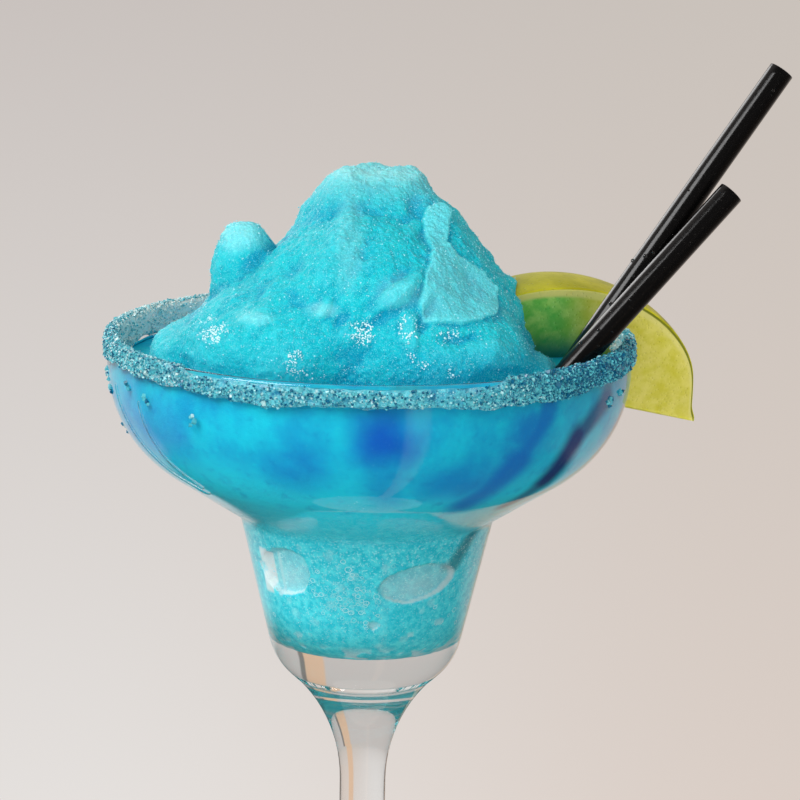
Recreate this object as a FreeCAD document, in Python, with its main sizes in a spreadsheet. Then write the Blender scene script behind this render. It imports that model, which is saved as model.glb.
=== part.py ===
import FreeCAD, Part
import math
import operator
import os

import Sketcher
from FreeCAD import Vector

# A frozen blue cocktail in a stepped margarita glass, in millimetres.
# The origin is the middle of the foot's underside, on the glass's axis, and +Z is up.
# +X is the side that the straws and the lime lean out over, and -Y is the front.

# Driving dimensions: name, value, and what it measures. Angles are in degrees.
SIZES = [
    ("glass_height", 172, "underside of the foot to the top of the rim"),
    ("rim_radius", 58, "outside of the rim"),
    ("wall", 1.8, "thickness of the bowl and cup"),
    ("lip_depth", 6, "straight band below the rim"),
    ("bowl_curve", 28.7, "outer radius of the bowl's round side"),
    ("bowl_sweep", 57, "how far the bowl's side turns under"),
    ("waist_radius", 28.5, "where the bowl's floor meets the cup"),
    ("waist_round", 4, "rounding of that step, outside"),
    ("cup_depth", 29.3, "waist to the foot of the cup"),
    ("cup_taper", 13.2, "lean of the cup's wall"),
    ("cup_corner", 13, "rounding inside the cup's floor"),
    ("floor_rise", 0.2, "cup's floor above the cup's foot"),
    ("base_turn", 14, "convex curve under the cup"),
    ("base_slope", 49, "steepest lean of the solid base"),
    ("stem_radius", 5.2, "stem"),
    ("foot_radius", 38, "outside of the foot"),
    ("foot_edge", 1.5, "height of the foot's edge"),
    ("foot_slope", 5, "fall of the foot's upper face"),
    ("foot_flare", 14, "curve from the foot into the stem"),
    ("crust_thick", 1, "sugar crust on the rim"),
    ("crust_outside", 5, "crust below the rim, outside"),
    ("crust_inside", 5.5, "crust below the rim, inside"),
    ("fit_gap", 0.05, "clearance between pieces that touch"),
    ("fill_depth", 7, "rim to the level of the slush"),
    ("heap_margin", 7, "mouth of the glass to the foot of the heap"),
    ("heap_height", 38.5, "rim to the top of the heap"),
    ("lime_half_length", 33.3, "middle to end of the lime"),
    ("lime_radius", 27.6, "core to rind"),
    ("lime_wedge", 43, "angle between the two cut faces"),
    ("lime_azimuth", 20, "where the lime sits on the rim"),
    ("lime_inset", 12.3, "rim to the middle of the lime's core"),
    ("lime_drop", 16.3, "rim's top down to the middle of the core"),
    ("lime_tilt", 13.7, "fall of the core towards the outside"),
    ("slot_sweep", 45, "how far the lime's slot follows the bowl"),
    ("straw_diameter", 5.6, "outside of a straw"),
    ("straw_wall", 0.35, "wall of a straw"),
    ("long_aside", 0.6, "long straw further out than the short, at the rim's level"),
    ("straws_apart", 0.9, "between the straws, front to back, at the rim's level"),
    ("long_lean", 36, "long straw from upright"),
    ("long_heading", 17.1, "way the long straw leans"),
    ("long_above", 74, "length above the rim's level"),
    ("long_below", 36, "length below the rim's level"),
    ("short_inset", 2.6, "mouth to the short straw's side, at the rim's level"),
    ("short_azimuth", -25.4, "where the short straw passes the rim's level"),
    ("short_lean", 43.3, "short straw from upright"),
    ("short_heading", 16.2, "way the short straw leans"),
    ("short_above", 47.5, "length above the rim's level"),
    ("short_below", 37, "length below the rim's level"),
]

# The lumps of the heap. Places across, back and above the rim, then half widths across,
# back and up, all in percent of the heap's radius, or of its height where they go up.
LUMPS = {
    "core": (-8, 0, -31, 85, 75, 78),
    "front": (-4, -28, 13, 49, 43, 57),
    "peak": (-1, 4, 42, 35, 33, 55),
    "shoulder": (33, -4, 18, 35, 37, 37),
    "knob": (-55, -6, 41, 15, 15, 22),
    "left_flank": (-41, -6, 14, 33, 35, 36),
    "bridge": (-22, -4, 30, 21, 28, 34),
    "left_skirt": (-75, -16, -13, 23, 28, 23),
    "slab": (41, -40, 27, 17, 17, 36),
    "front_bump": (14, -55, 26, 15, 14, 18),
    "front_left": (-35, -39, 0, 43, 41, 36),
    "front_right": (24, -41, -3, 45, 41, 36),
    "brow": (-18, -12, 57, 18, 20, 29),
    "crown": (20, -6, 58, 20, 20, 26),
    "right_skirt": (67, -33, -18, 20, 24, 16),
    "back": (4, 35, 10, 55, 41, 47),
    "back_left": (-33, 28, 14, 26, 24, 30),
    "back_right": (42, 24, -8, 27, 28, 32),
}
LUMP_MEASURES = ("across", "back", "above", "half_across", "half_back", "half_up")

OPERATIONS = {
    "+": operator.add,
    "-": operator.sub,
    "*": operator.mul,
    "/": operator.truediv,
}


class Size:
    """A number together with the sheet expression that gives it."""

    def __init__(self, number, text):
        self.number = number
        self.text = text

    def joined(self, sign, other):
        other = as_size(other)
        number = OPERATIONS[sign](self.number, other.number)
        return Size(number, f"({self.text} {sign} {other.text})")

    def __add__(self, other):
        return self.joined("+", other)

    def __sub__(self, other):
        return self.joined("-", other)

    def __mul__(self, other):
        return self.joined("*", other)

    def __truediv__(self, other):
        return self.joined("/", other)


def as_size(value):
    return value if isinstance(value, Size) else Size(value, str(value))


def cosine(angle):
    return Size(math.cos(math.radians(angle.number)), f"cos({angle.text})")


def sine(angle):
    return Size(math.sin(math.radians(angle.number)), f"sin({angle.text})")


def tangent(angle):
    return Size(math.tan(math.radians(angle.number)), f"tan({angle.text})")


class Sizes:
    """The spreadsheet, read as attributes: sizes.wall is the cell with that alias."""

    def __init__(self, doc):
        self.sheet = doc.addObject("Spreadsheet::Sheet", "sizes")
        rows = [(name, value, meaning) for name, value, meaning in SIZES]
        for lump, values in LUMPS.items():
            rows += [
                (f"{lump}_{measure}", value, f"lump of the heap, {measure} in percent")
                for measure, value in zip(LUMP_MEASURES, values)
            ]
        for row, (name, value, meaning) in enumerate(rows, start=1):
            self.sheet.set(f"A{row}", meaning)
            self.sheet.set(f"B{row}", str(value))
            self.sheet.setAlias(f"B{row}", name)
        doc.recompute()

    def __getattr__(self, name):
        return Size(float(self.sheet.get(name)), f"sizes.{name}")


# ---------------------------------------------------------------- sketched outlines


def go(point, distance, direction):
    """The point at a distance from another along a direction."""
    return (point[0] + distance * direction[0], point[1] + distance * direction[1])


def back(point, distance, direction):
    """The same, the opposite way."""
    return (point[0] - distance * direction[0], point[1] - distance * direction[1])


def flat(point):
    return Vector(point[0].number, point[1].number, 0)


def bearing(centre, point):
    return math.atan2(
        point[1].number - centre[1].number, point[0].number - centre[0].number
    )


def hold(sketch, edge, end, point):
    """Holds one end of an edge at a corner whose two places are bound to the sheet."""
    places = (("DistanceX", -2, point[0]), ("DistanceY", -1, point[1]))
    for kind, axis, size in places:
        if abs(size.number) < 1e-9:
            sketch.addConstraint(Sketcher.Constraint("PointOnObject", edge, end, axis))
            continue
        held = Sketcher.Constraint(kind, -1, 1, edge, end, size.number)
        sketch.setExpression(f"Constraints[{sketch.addConstraint(held)}]", size.text)


def draw(sketch, start, steps):
    """Draws a closed outline. Each step is (corner,) for a straight edge to that corner,
    or (corner, centre, radius, turn) for a round one that turns "left" or "right"."""
    here = start
    ends = []
    for step in steps:
        there = step[0]
        if len(step) == 1:
            edge = sketch.addGeometry(Part.LineSegment(flat(here), flat(there)))
            first, last = 1, 2
        else:
            centre, radius, turn = step[1:]
            circle = Part.Circle(flat(centre), Vector(0, 0, 1), radius.number)
            leaving, arriving = bearing(centre, here), bearing(centre, there)
            first, last = (1, 2) if turn == "left" else (2, 1)
            low, high = (
                (leaving, arriving) if turn == "left" else (arriving, leaving)
            )
            high += 2 * math.pi if high <= low else 0
            edge = sketch.addGeometry(Part.ArcOfCircle(circle, low, high))
            bend = sketch.addConstraint(
                Sketcher.Constraint("Radius", edge, radius.number)
            )
            sketch.setExpression(f"Constraints[{bend}]", radius.text)
        hold(sketch, edge, first, here)
        ends.append((edge, first, last))
        here = there
    for (edge, _, last), (following, first, _) in zip(ends, ends[1:] + ends[:1]):
        sketch.addConstraint(
            Sketcher.Constraint("Coincident", edge, last, following, first)
        )


def turned_body(doc, name, start, steps):
    """A PartDesign body: an outline in the XZ plane turned about the glass's axis."""
    body = doc.addObject("PartDesign::Body", name)
    sketch = body.newObject("Sketcher::SketchObject", f"{name}_outline")
    planes = {feature.Role: feature for feature in body.Origin.OriginFeatures}
    sketch.AttachmentSupport = [(planes["XZ_Plane"], "")]
    sketch.MapMode = "FlatFace"
    draw(sketch, start, steps)
    turned = body.newObject("PartDesign::Revolution", f"{name}_turned")
    turned.Profile = sketch
    turned.ReferenceAxis = (sketch, ["V_Axis"])
    turned.Angle = 360
    return body


# ---------------------------------------------------------------- the glass


class GlassLines:
    """The named points of the glass's half section."""

    def __init__(self, sizes):
        self.sizes = sizes
        self.top = sizes.glass_height
        self.lip = sizes.glass_height - sizes.lip_depth
        self.bowl_centre = (sizes.rim_radius - sizes.bowl_curve, self.lip)
        sweep, taper = sizes.bowl_sweep, sizes.cup_taper
        self.up_slope = (sine(sweep), cosine(sweep))
        self.up_cup = (sine(taper), cosine(taper))
        # The step between bowl and cup, first as a sharp corner, then rounded about a
        # centre that the inside of the wall shares.
        slope_top = self.on_bowl(as_size(0))
        run = slope_top[0] - sizes.waist_radius
        corner = (sizes.waist_radius, slope_top[1] - run / tangent(sweep))
        reach = sizes.waist_round * tangent((sweep - taper) / 2)
        self.step_top = go(corner, reach, self.up_slope)
        self.step_foot = back(corner, reach, self.up_cup)
        self.step_centre = (
            self.step_top[0] + sizes.waist_round * cosine(sweep),
            self.step_top[1] - sizes.waist_round * sine(sweep),
        )
        self.cup_foot = (
            corner[0] - sizes.cup_depth * tangent(taper),
            corner[1] - sizes.cup_depth,
        )
        self.floor = self.cup_foot[1] + sizes.floor_rise

    def on_bowl(self, inset):
        """End of the bowl's round side, for the outside or a line set in from it."""
        sizes = self.sizes
        radius = sizes.bowl_curve - inset
        return (
            self.bowl_centre[0] + radius * cosine(sizes.bowl_sweep),
            self.bowl_centre[1] - radius * sine(sizes.bowl_sweep),
        )

    def inside(self, inset):
        """The cavity's outline from the straight lip down to the axis, for a line that
        lies inset from the glass's outer face."""
        sizes = self.sizes
        curve = sizes.bowl_curve - inset
        step = sizes.waist_round + inset
        step_top = (
            self.step_centre[0] - step * cosine(sizes.bowl_sweep),
            self.step_centre[1] + step * sine(sizes.bowl_sweep),
        )
        step_foot = (
            self.step_centre[0] - step * cosine(sizes.cup_taper),
            self.step_centre[1] + step * sine(sizes.cup_taper),
        )
        floor = self.floor + (inset - sizes.wall)
        drop = step_foot[1] - floor
        corner = (step_foot[0] - drop * tangent(sizes.cup_taper), floor)
        half_turn = (as_size(90) - sizes.cup_taper) / 2
        reach = sizes.cup_corner * tangent(half_turn)
        floor_end = (corner[0] - reach, floor)
        return [
            (self.on_bowl(inset), self.bowl_centre, curve, "right"),
            (step_top,),
            (step_foot, self.step_centre, step, "left"),
            (go(corner, reach, self.up_cup),),
            (
                floor_end,
                (floor_end[0], floor + sizes.cup_corner),
                sizes.cup_corner,
                "right",
            ),
            ((as_size(0), floor),),
        ]


def make_glass(doc, sizes, lines):
    """Foot, stem, solid base, cup and bowl: one turned piece of clear glass."""
    zero = as_size(0)
    # Under the cup a convex curve turns out to the base's slope, and a concave one,
    # whose radius closes the distance to the stem, turns back to upright.
    taper, slope = sizes.cup_taper, sizes.base_slope
    turn_centre = (
        lines.cup_foot[0] - sizes.base_turn * cosine(taper),
        lines.cup_foot[1] + sizes.base_turn * sine(taper),
    )
    turn_foot = (
        turn_centre[0] + sizes.base_turn * cosine(slope),
        turn_centre[1] - sizes.base_turn * sine(slope),
    )
    neck_curve = (turn_foot[0] - sizes.stem_radius) / (as_size(1) - cosine(slope))
    stem_top = turn_foot[1] - neck_curve * sine(slope)
    # The foot's upper face falls at its slope from the flare to the edge.
    flare = sizes.foot_flare
    flare_end_across = sizes.stem_radius + flare - flare * sine(sizes.foot_slope)
    flare_end_up = sizes.foot_edge + (
        sizes.foot_radius - flare_end_across
    ) * tangent(sizes.foot_slope)
    flare_up = flare_end_up + flare * cosine(sizes.foot_slope)
    # The rim's edge is round, in two quarter turns.
    half_wall = sizes.wall / 2
    mouth = sizes.rim_radius - sizes.wall
    lip_middle = (mouth + half_wall, lines.top - half_wall)
    start = (zero, zero)
    steps = [
        ((sizes.foot_radius, zero),),
        ((sizes.foot_radius, sizes.foot_edge),),
        ((flare_end_across, flare_end_up),),
        (
            (sizes.stem_radius, flare_up),
            (sizes.stem_radius + flare, flare_up),
            flare,
            "right",
        ),
        ((sizes.stem_radius, stem_top),),
        (
            turn_foot,
            (sizes.stem_radius + neck_curve, stem_top),
            neck_curve,
            "right",
        ),
        (lines.cup_foot, turn_centre, sizes.base_turn, "left"),
        (lines.step_foot,),
        (lines.step_top, lines.step_centre, sizes.waist_round, "right"),
        (lines.on_bowl(zero),),
        (
            (sizes.rim_radius, lines.lip),
            lines.bowl_centre,
            sizes.bowl_curve,
            "left",
        ),
        ((sizes.rim_radius, lip_middle[1]),),
        ((lip_middle[0], lines.top), lip_middle, half_wall, "left"),
        ((mouth, lip_middle[1]), lip_middle, half_wall, "left"),
        ((mouth, lines.lip),),
    ]
    steps += lines.inside(sizes.wall)
    steps += [(start,)]
    return turned_body(doc, "glass", start, steps)


def make_sugar_rim(doc, sizes, lines):
    """The crust of sugar: a ring with a U section that hangs over the rim."""
    gap, thick = sizes.fit_gap, sizes.crust_thick
    outside = sizes.rim_radius + gap
    inside = sizes.rim_radius - sizes.wall - gap
    seat = lines.top + gap
    out_foot = lines.top - sizes.crust_outside
    in_foot = lines.top - sizes.crust_inside
    start = (outside, out_foot)
    steps = [
        ((outside + thick, out_foot),),
        ((outside + thick, seat),),
        ((outside, seat + thick), (outside, seat), thick, "left"),
        ((inside, seat + thick),),
        ((inside - thick, seat), (inside, seat), thick, "left"),
        ((inside - thick, in_foot),),
        ((inside, in_foot),),
        ((inside, seat),),
        ((outside, seat),),
        (start,),
    ]
    return turned_body(doc, "sugar_rim", start, steps)


# ---------------------------------------------------------------- pieces set at angles


def place(piece, spot, turns):
    """Binds a placement: spot is three sizes, and turns are (about Z, about Y) pairs
    taken one after the other, each followed by a shift along its own Z."""
    across, rear, up = (size.text for size in spot)
    text = f"placement(vector({across}; {rear}; {up}); rotation(0; 0; 0))"
    for about_z, about_y, shift in turns:
        turn = f"rotation({as_size(about_z).text}; {as_size(about_y).text}; 0)"
        slide = f"vector(0; 0; {as_size(shift).text})"
        text += f" * placement(vector(0; 0; 0); {turn})"
        text += f" * placement({slide}; rotation(0; 0; 0))"
    piece.setExpression("Placement", text)


def bind(piece, **sizes):
    for property_name, size in sizes.items():
        piece.setExpression(property_name, as_size(size).text)


def join(doc, kind, name, base, tool):
    """A Part::Cut or Part::Common of two pieces."""
    piece = doc.addObject(kind, name)
    piece.Base = base
    piece.Tool = tool
    return piece


# ---------------------------------------------------------------- the lime


def lime_wedge(doc, sizes, name, growth):
    """A wedge cut lengthwise from a lime: a sector of a long ellipsoid whose core lies
    level-ish across the rim, rind up. Growth makes the space that it needs."""
    wedge = doc.addObject("Part::Ellipsoid", name)
    bind(
        wedge,
        Radius1=sizes.lime_half_length + growth,
        Radius2=sizes.lime_radius + growth,
        Radius3=sizes.lime_radius + growth,
        Angle3=sizes.lime_wedge,
    )
    distance = sizes.rim_radius - sizes.lime_inset
    spot = (
        distance * cosine(sizes.lime_azimuth),
        distance * sine(sizes.lime_azimuth),
        sizes.glass_height - sizes.lime_drop - growth,
    )
    core = (sizes.lime_azimuth, sizes.lime_tilt + 90, 0)
    rind_up = (as_size(180) - sizes.lime_wedge / 2, 0, 0)
    place(wedge, spot, [core, rind_up])
    return wedge


def make_slot(doc, sizes, lines):
    """The ring that the rim, its crust and the bowl's wall need in the lime."""
    reach = sizes.crust_thick + sizes.fit_gap * 2
    outer = sizes.bowl_curve + reach
    inner = sizes.bowl_curve - sizes.wall - reach
    across, up = lines.bowl_centre
    way = (cosine(sizes.slot_sweep), sine(sizes.slot_sweep))
    top = lines.top + reach
    start = (across + outer, top)
    steps = [
        ((across + inner, top),),
        ((across + inner, up),),
        (
            (across + inner * way[0], up - inner * way[1]),
            lines.bowl_centre,
            inner,
            "right",
        ),
        ((across + outer * way[0], up - outer * way[1]),),
        ((across + outer, up), lines.bowl_centre, outer, "left"),
        (start,),
    ]
    return turned_body(doc, "lime_slot", start, steps)


def make_lime(doc, sizes, lines):
    wedge = lime_wedge(doc, sizes, "lime_whole", as_size(0))
    slot = make_slot(doc, sizes, lines)
    return join(doc, "Part::Cut", "lime_wedge", wedge, slot)


# ---------------------------------------------------------------- the straws


def straw_spot(sizes, which):
    """Where a straw's axis passes the rim's level. The long straw is behind the short."""
    half = sizes.straw_diameter / 2
    distance = sizes.rim_radius - sizes.wall - sizes.short_inset - half
    across = distance * cosine(sizes.short_azimuth)
    rear = distance * sine(sizes.short_azimuth)
    if which == "long":
        across = across + sizes.long_aside
        rear = rear + sizes.straw_diameter + sizes.straws_apart
    return (across, rear, sizes.glass_height)


def straw_rod(doc, sizes, name, which, radius, extra):
    """A rod on a straw's axis, extra longer at both ends."""
    lean, heading, above, below = (
        getattr(sizes, f"{which}_{part}")
        for part in ("lean", "heading", "above", "below")
    )
    rod = doc.addObject("Part::Cylinder", name)
    bind(rod, Radius=radius, Height=above + below + extra * 2)
    down = as_size(0) - below - extra
    place(rod, straw_spot(sizes, which), [(heading, lean, down)])
    return rod


def make_straw(doc, sizes, which):
    outside = sizes.straw_diameter / 2
    rod = straw_rod(doc, sizes, f"{which}_rod", which, outside, as_size(0))
    bore = straw_rod(
        doc, sizes, f"{which}_bore", which, outside - sizes.straw_wall, as_size(1)
    )
    return join(doc, "Part::Cut", f"straw_{which}", rod, bore)


# ---------------------------------------------------------------- the slush


def make_lump(doc, sizes, lump):
    """One rounded lump of the heap, sized by the heap's radius and height."""
    radius = (sizes.rim_radius - sizes.wall - sizes.heap_margin) / 100
    height = sizes.heap_height / 100
    across, rear, above, half_across, half_back, half_up = (
        getattr(sizes, f"{lump}_{measure}") for measure in LUMP_MEASURES
    )
    piece = doc.addObject("Part::Ellipsoid", f"lump_{lump}")
    bind(
        piece,
        Radius1=half_up * height,
        Radius2=half_across * radius,
        Radius3=half_back * radius,
    )
    spot = (across * radius, rear * radius, sizes.glass_height + above * height)
    place(piece, spot, [])
    return piece


def make_slush(doc, sizes, lines):
    """What fills the glass up to its level, and the heap that stands out of it, in one
    piece, cut round the lime and the straws."""
    zero, gap = as_size(0), sizes.fit_gap
    inset = sizes.wall + gap
    start = (zero, lines.lip)
    cavity_steps = [((sizes.rim_radius - inset, lines.lip),)]
    cavity_steps += lines.inside(inset)
    cavity_steps += [(start,)]
    cavity = turned_body(doc, "cavity", start, cavity_steps)
    below_level = doc.addObject("Part::Cylinder", "below_level")
    bind(
        below_level,
        Radius=sizes.rim_radius,
        Height=sizes.glass_height - sizes.fill_depth,
    )
    fill = join(doc, "Part::Common", "fill", cavity, below_level)
    mass = doc.addObject("Part::MultiFuse", "fill_and_heap")
    mass.Shapes = [fill] + [make_lump(doc, sizes, lump) for lump in LUMPS]
    room = sizes.straw_diameter / 2 + gap * 2
    spaces = doc.addObject("Part::MultiFuse", "garnish_space")
    spaces.Shapes = [
        lime_wedge(doc, sizes, "lime_space", gap * 2),
        straw_rod(doc, sizes, "long_space", "long", room, gap * 2),
        straw_rod(doc, sizes, "short_space", "short", room, gap * 2),
    ]
    return join(doc, "Part::Cut", "slush", mass, spaces)


# ---------------------------------------------------------------- build and write


def check_document(doc):
    for item in doc.Objects:
        if "Invalid" in item.State or "Error" in item.State:
            raise RuntimeError(f"{item.Name} failed: {item.State}")


def check_piece(piece):
    shape = piece.Shape
    if shape.isNull() or not shape.isValid():
        raise RuntimeError(f"{piece.Label} has no valid shape")
    if len(shape.Solids) != 1:
        raise RuntimeError(f"{piece.Label} is {len(shape.Solids)} solids")
    print(f"{piece.Label}: {shape.Volume / 1000:.1f} cm3")


def main():
    doc = FreeCAD.newDocument("slush_cocktail")
    sizes = Sizes(doc)
    lines = GlassLines(sizes)
    pieces = {
        "glass": make_glass(doc, sizes, lines),
        "sugar_rim": make_sugar_rim(doc, sizes, lines),
        "slush": make_slush(doc, sizes, lines),
        "lime_wedge": make_lime(doc, sizes, lines),
        "straw_long": make_straw(doc, sizes, "long"),
        "straw_short": make_straw(doc, sizes, "short"),
    }
    doc.recompute()
    check_document(doc)
    for label, piece in pieces.items():
        piece.Label = label
        check_piece(piece)
    os.makedirs("parts", exist_ok=True)
    for label, piece in pieces.items():
        piece.Shape.exportStep(f"parts/{label}.step")


main()
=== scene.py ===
import itertools
import math

import bpy
import numpy as np
from mathutils import Matrix, Vector


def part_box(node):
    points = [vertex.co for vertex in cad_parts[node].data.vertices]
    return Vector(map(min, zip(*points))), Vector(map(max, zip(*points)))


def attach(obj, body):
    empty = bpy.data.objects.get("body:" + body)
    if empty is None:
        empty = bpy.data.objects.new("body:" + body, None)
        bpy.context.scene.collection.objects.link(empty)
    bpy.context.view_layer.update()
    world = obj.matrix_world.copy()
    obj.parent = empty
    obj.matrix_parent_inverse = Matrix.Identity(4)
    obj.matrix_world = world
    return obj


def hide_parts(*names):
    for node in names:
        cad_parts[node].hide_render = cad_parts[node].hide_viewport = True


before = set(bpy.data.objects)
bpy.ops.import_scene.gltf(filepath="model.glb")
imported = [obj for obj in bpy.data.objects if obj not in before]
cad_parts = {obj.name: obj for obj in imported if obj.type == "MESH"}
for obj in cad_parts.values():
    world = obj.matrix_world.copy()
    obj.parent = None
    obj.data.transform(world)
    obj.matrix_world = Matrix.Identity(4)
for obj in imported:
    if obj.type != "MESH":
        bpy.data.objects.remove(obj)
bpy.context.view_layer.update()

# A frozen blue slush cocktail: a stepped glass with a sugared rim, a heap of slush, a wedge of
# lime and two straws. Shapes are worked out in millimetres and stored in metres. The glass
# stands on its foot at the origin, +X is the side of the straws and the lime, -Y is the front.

MM = 0.001
glass_top = np.array(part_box("glass")[1]) / MM
slush_top = np.array(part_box("slush")[1]) / MM
RIM = round(glass_top[0], 1)  # radius of the mouth
BRIM = round(glass_top[2], 1)  # height of the mouth
PEAK = slush_top[2]  # top of the heap
WALL = 1.8  # thickness of the glass at the mouth
MOUTH = RIM - WALL  # radius inside the mouth
FILL = BRIM - 7.0  # level of the liquid
CLING = BRIM - 2.2  # how high the slush clings to the front of the bowl
STRAW, BORE = 2.8, 2.45  # outer and inner radius of a straw

# Corners of the glass's half-section: distance from the axis, height, radius of the corner.
OUTSIDE = (
    (38.0, 0.0, 0.4), (38.0, 1.5, 0.6), (5.2, 4.4, 14.0), (5.2, 84.2, 34.9),
    (20.6, 97.6, 14.0), (28.5, 131.3, 4.0), (RIM, 150.4, 28.7), (RIM, BRIM, 0.88),
    (MOUTH, BRIM, 0.88),
)
INSIDE = ((MOUTH, 151.4, 26.9), (26.9, 132.4, 5.8), (19.9, 102.2, 13.0))
FLOOR = (0.0, 102.2, 0.0)


# ------------ arithmetic on points


def radians(*degrees):
    """Angles that are given in degrees."""
    return np.radians(np.array(degrees, float))


def all_round(count):
    """The angles of this many even steps round a circle."""
    return np.arange(count) * 2 * math.pi / count


def azimuths(count):
    """The same angles in degrees, from -180 to 180."""
    return (np.arange(count) * 360 / count + 180) % 360 - 180


def polar(radius, angle, height):
    """Points (r cos a, r sin a, z) from distance off the axis, azimuth and height."""
    return side_by_side(radius * np.cos(angle), radius * np.sin(angle), height)


def circle(first, second, angle):
    """Directions at these angles in the plane of two others, from the first to the second."""
    return first * np.cos(angle)[:, None] + second * np.sin(angle)[:, None]


def turned(x, y, tilt):
    """Coordinates along and across a direction tilted by this many degrees."""
    c, s = math.cos(math.radians(tilt)), math.sin(math.radians(tilt))
    return x * c + y * s, y * c - x * s


def length(vectors):
    """The length of each vector."""
    return np.linalg.norm(vectors, axis=-1)


def side_by_side(*parts):
    """Points from arrays of their coordinates."""
    return np.stack(np.broadcast_arrays(*parts), -1)


def unit(vectors):
    """The vectors' directions, each of length 1."""
    return vectors / np.linalg.norm(vectors, axis=-1, keepdims=True)


def ease(share):
    """0 below 0, 1 above 1, and t * t * (3 - 2 t) between."""
    t = np.clip(share, 0.0, 1.0)
    return t * t * (3 - 2 * t)


def near(value, middle, span):
    """1 within 0.4 spans of the middle, eased to 0 at 1.4 spans."""
    return ease(1.4 - np.abs(value - middle) / span)


def chance(cells, seed):
    """A random number from 0 to 1 for each cell of three whole numbers, by mixing their bits."""
    x, y, z = (cells[..., i].astype(np.int64).astype(np.uint32) for i in range(3))
    mixed = x * np.uint32(374761393) + y * np.uint32(668265263) + z * np.uint32(2147483629)
    mixed = mixed + np.uint32(seed * 974711 % 2**32)
    mixed = (mixed ^ (mixed >> np.uint32(13))) * np.uint32(1274126177)
    mixed = (mixed ^ (mixed >> np.uint32(15))) * np.uint32(2246822519)
    return (mixed ^ (mixed >> np.uint32(16))) / 2.0**32


def swell(points, size, seed=0):
    """Smooth noise from -1 to 1: random numbers at the corners of cubes of this size, blended
    across each cube with the weights of ease."""
    scaled = np.asarray(points) / size
    cell = np.floor(scaled)
    part = ease(scaled - cell)
    total = np.zeros(scaled.shape[:-1])
    for corner in itertools.product((0, 1), repeat=3):
        weight = np.prod(np.where(corner, part, 1 - part), axis=-1)
        total += weight * chance(cell + np.array(corner), seed)
    return total * 2 - 1


def layered(points, *layers):
    """Smooth noise in layers, each with its size, its seed and its height, added up."""
    return sum(swell(points, size, seed) * height for size, seed, height in layers)


def crumbs(points, size, seed=0):
    """Rounded crumbs: 1 minus the distance to the nearest of the random points that lie one in
    each cube of this size. The distance is in cubes, and counts as 1 beyond that."""
    scaled = np.asarray(points) / size
    cell = np.floor(scaled)
    nearest = np.full(scaled.shape[:-1], 9.0)
    for step in itertools.product((-1, 0, 1), repeat=3):
        beside = cell + np.array(step)
        spot = side_by_side(*(chance(beside, seed + k) for k in (1, 2, 3)))
        away = ((beside + spot - scaled) ** 2).sum(-1)
        nearest = np.minimum(nearest, away)
    return 1 - np.minimum(np.sqrt(nearest), 1.0)


def tumbled(count, dice):
    """Random rotation matrices, from random unit quaternions."""
    w, x, y, z = unit(dice.normal(size=(count, 4))).T
    rows = (
        (1 - 2 * (y * y + z * z), 2 * (x * y - w * z), 2 * (x * z + w * y)),
        (2 * (x * y + w * z), 1 - 2 * (x * x + z * z), 2 * (y * z - w * x)),
        (2 * (x * z - w * y), 2 * (y * z + w * x), 1 - 2 * (x * x + y * y)),
    )
    return np.moveaxis(np.array(rows), -1, 0)


# ------------ outlines and grids


def rounded(corners, step=5.0):
    """A line through corners (distance from the axis, height, radius): straight runs, and at
    each corner the arc that touches both its runs, sampled every few degrees."""
    line = [np.array(corners[0][:2])]
    for before, corner, after in zip(corners, corners[1:], corners[2:]):
        here, radius = np.array(corner[:2]), corner[2]
        back, on = unit(np.array(before[:2]) - here), unit(np.array(after[:2]) - here)
        turn = math.pi - math.acos(np.clip(back @ on, -1, 1))
        centre = here + unit(back + on) * radius / math.cos(turn / 2)
        start = here + back * radius * math.tan(turn / 2) - centre
        end = here + on * radius * math.tan(turn / 2) - centre
        first = math.atan2(start[1], start[0])
        swing = (math.atan2(end[1], end[0]) - first + math.pi) % (2 * math.pi) - math.pi
        angle = first + swing * np.linspace(0, 1, max(3, int(math.degrees(turn) / step) + 2))
        line += list(centre + radius * side_by_side(np.cos(angle), np.sin(angle)))
    line.append(np.array(corners[-1][:2]))
    return np.array(line)


def spaced(line, count, weight=1.0):
    """The line again, as this many points an even distance apart along it, or closer together
    on steps of more weight."""
    step = length(np.diff(line, axis=0)) * weight
    run = np.concatenate([[0], np.cumsum(step)])
    at = np.linspace(0, run[-1], count)
    return side_by_side(*(np.interp(at, run, part) for part in line.T))


def outward(line):
    """Unit normals of a half-section that runs up the outside: its direction turned a quarter."""
    along = np.gradient(line, axis=0)
    return unit(side_by_side(along[:, 1], -along[:, 0]))


def spun(line, columns):
    """A grid of points: the line's (r, z) carried round the axis, as (r cos a, r sin a, z)."""
    r, z = np.moveaxis(np.asarray(line, float), -1, 0)
    if r.ndim == 1:
        r, z = r[:, None], z[:, None]
    return polar(r, all_round(columns), z)


def grid_normals(grid):
    """Unit normals of a grid whose columns run right round, from the steps to its neighbours."""
    around = np.roll(grid, -1, axis=1) - np.roll(grid, 1, axis=1)
    normals = np.cross(around, np.gradient(grid, axis=0))
    return normals / np.maximum(np.linalg.norm(normals, axis=-1, keepdims=True), 1e-9)


class Surface:
    """Points, four-sided and three-sided faces, and named numbers at the points."""

    def __init__(self, points, quads=(), triangles=(), **values):
        self.points = np.asarray(points, float).reshape(-1, 3)
        self.quads = np.asarray(quads, np.int64).reshape(-1, 4)
        self.triangles = np.asarray(triangles, np.int64).reshape(-1, 3)
        self.values = {key: np.ravel(value) for key, value in values.items()}


def poled(grid):
    """A grid's values in one line, with a single value for each pole, its first and last row."""
    middle = grid[1:-1].reshape(-1, *grid.shape[2:])
    return np.concatenate([middle, grid[0, :1], grid[-1, :1]])


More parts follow.
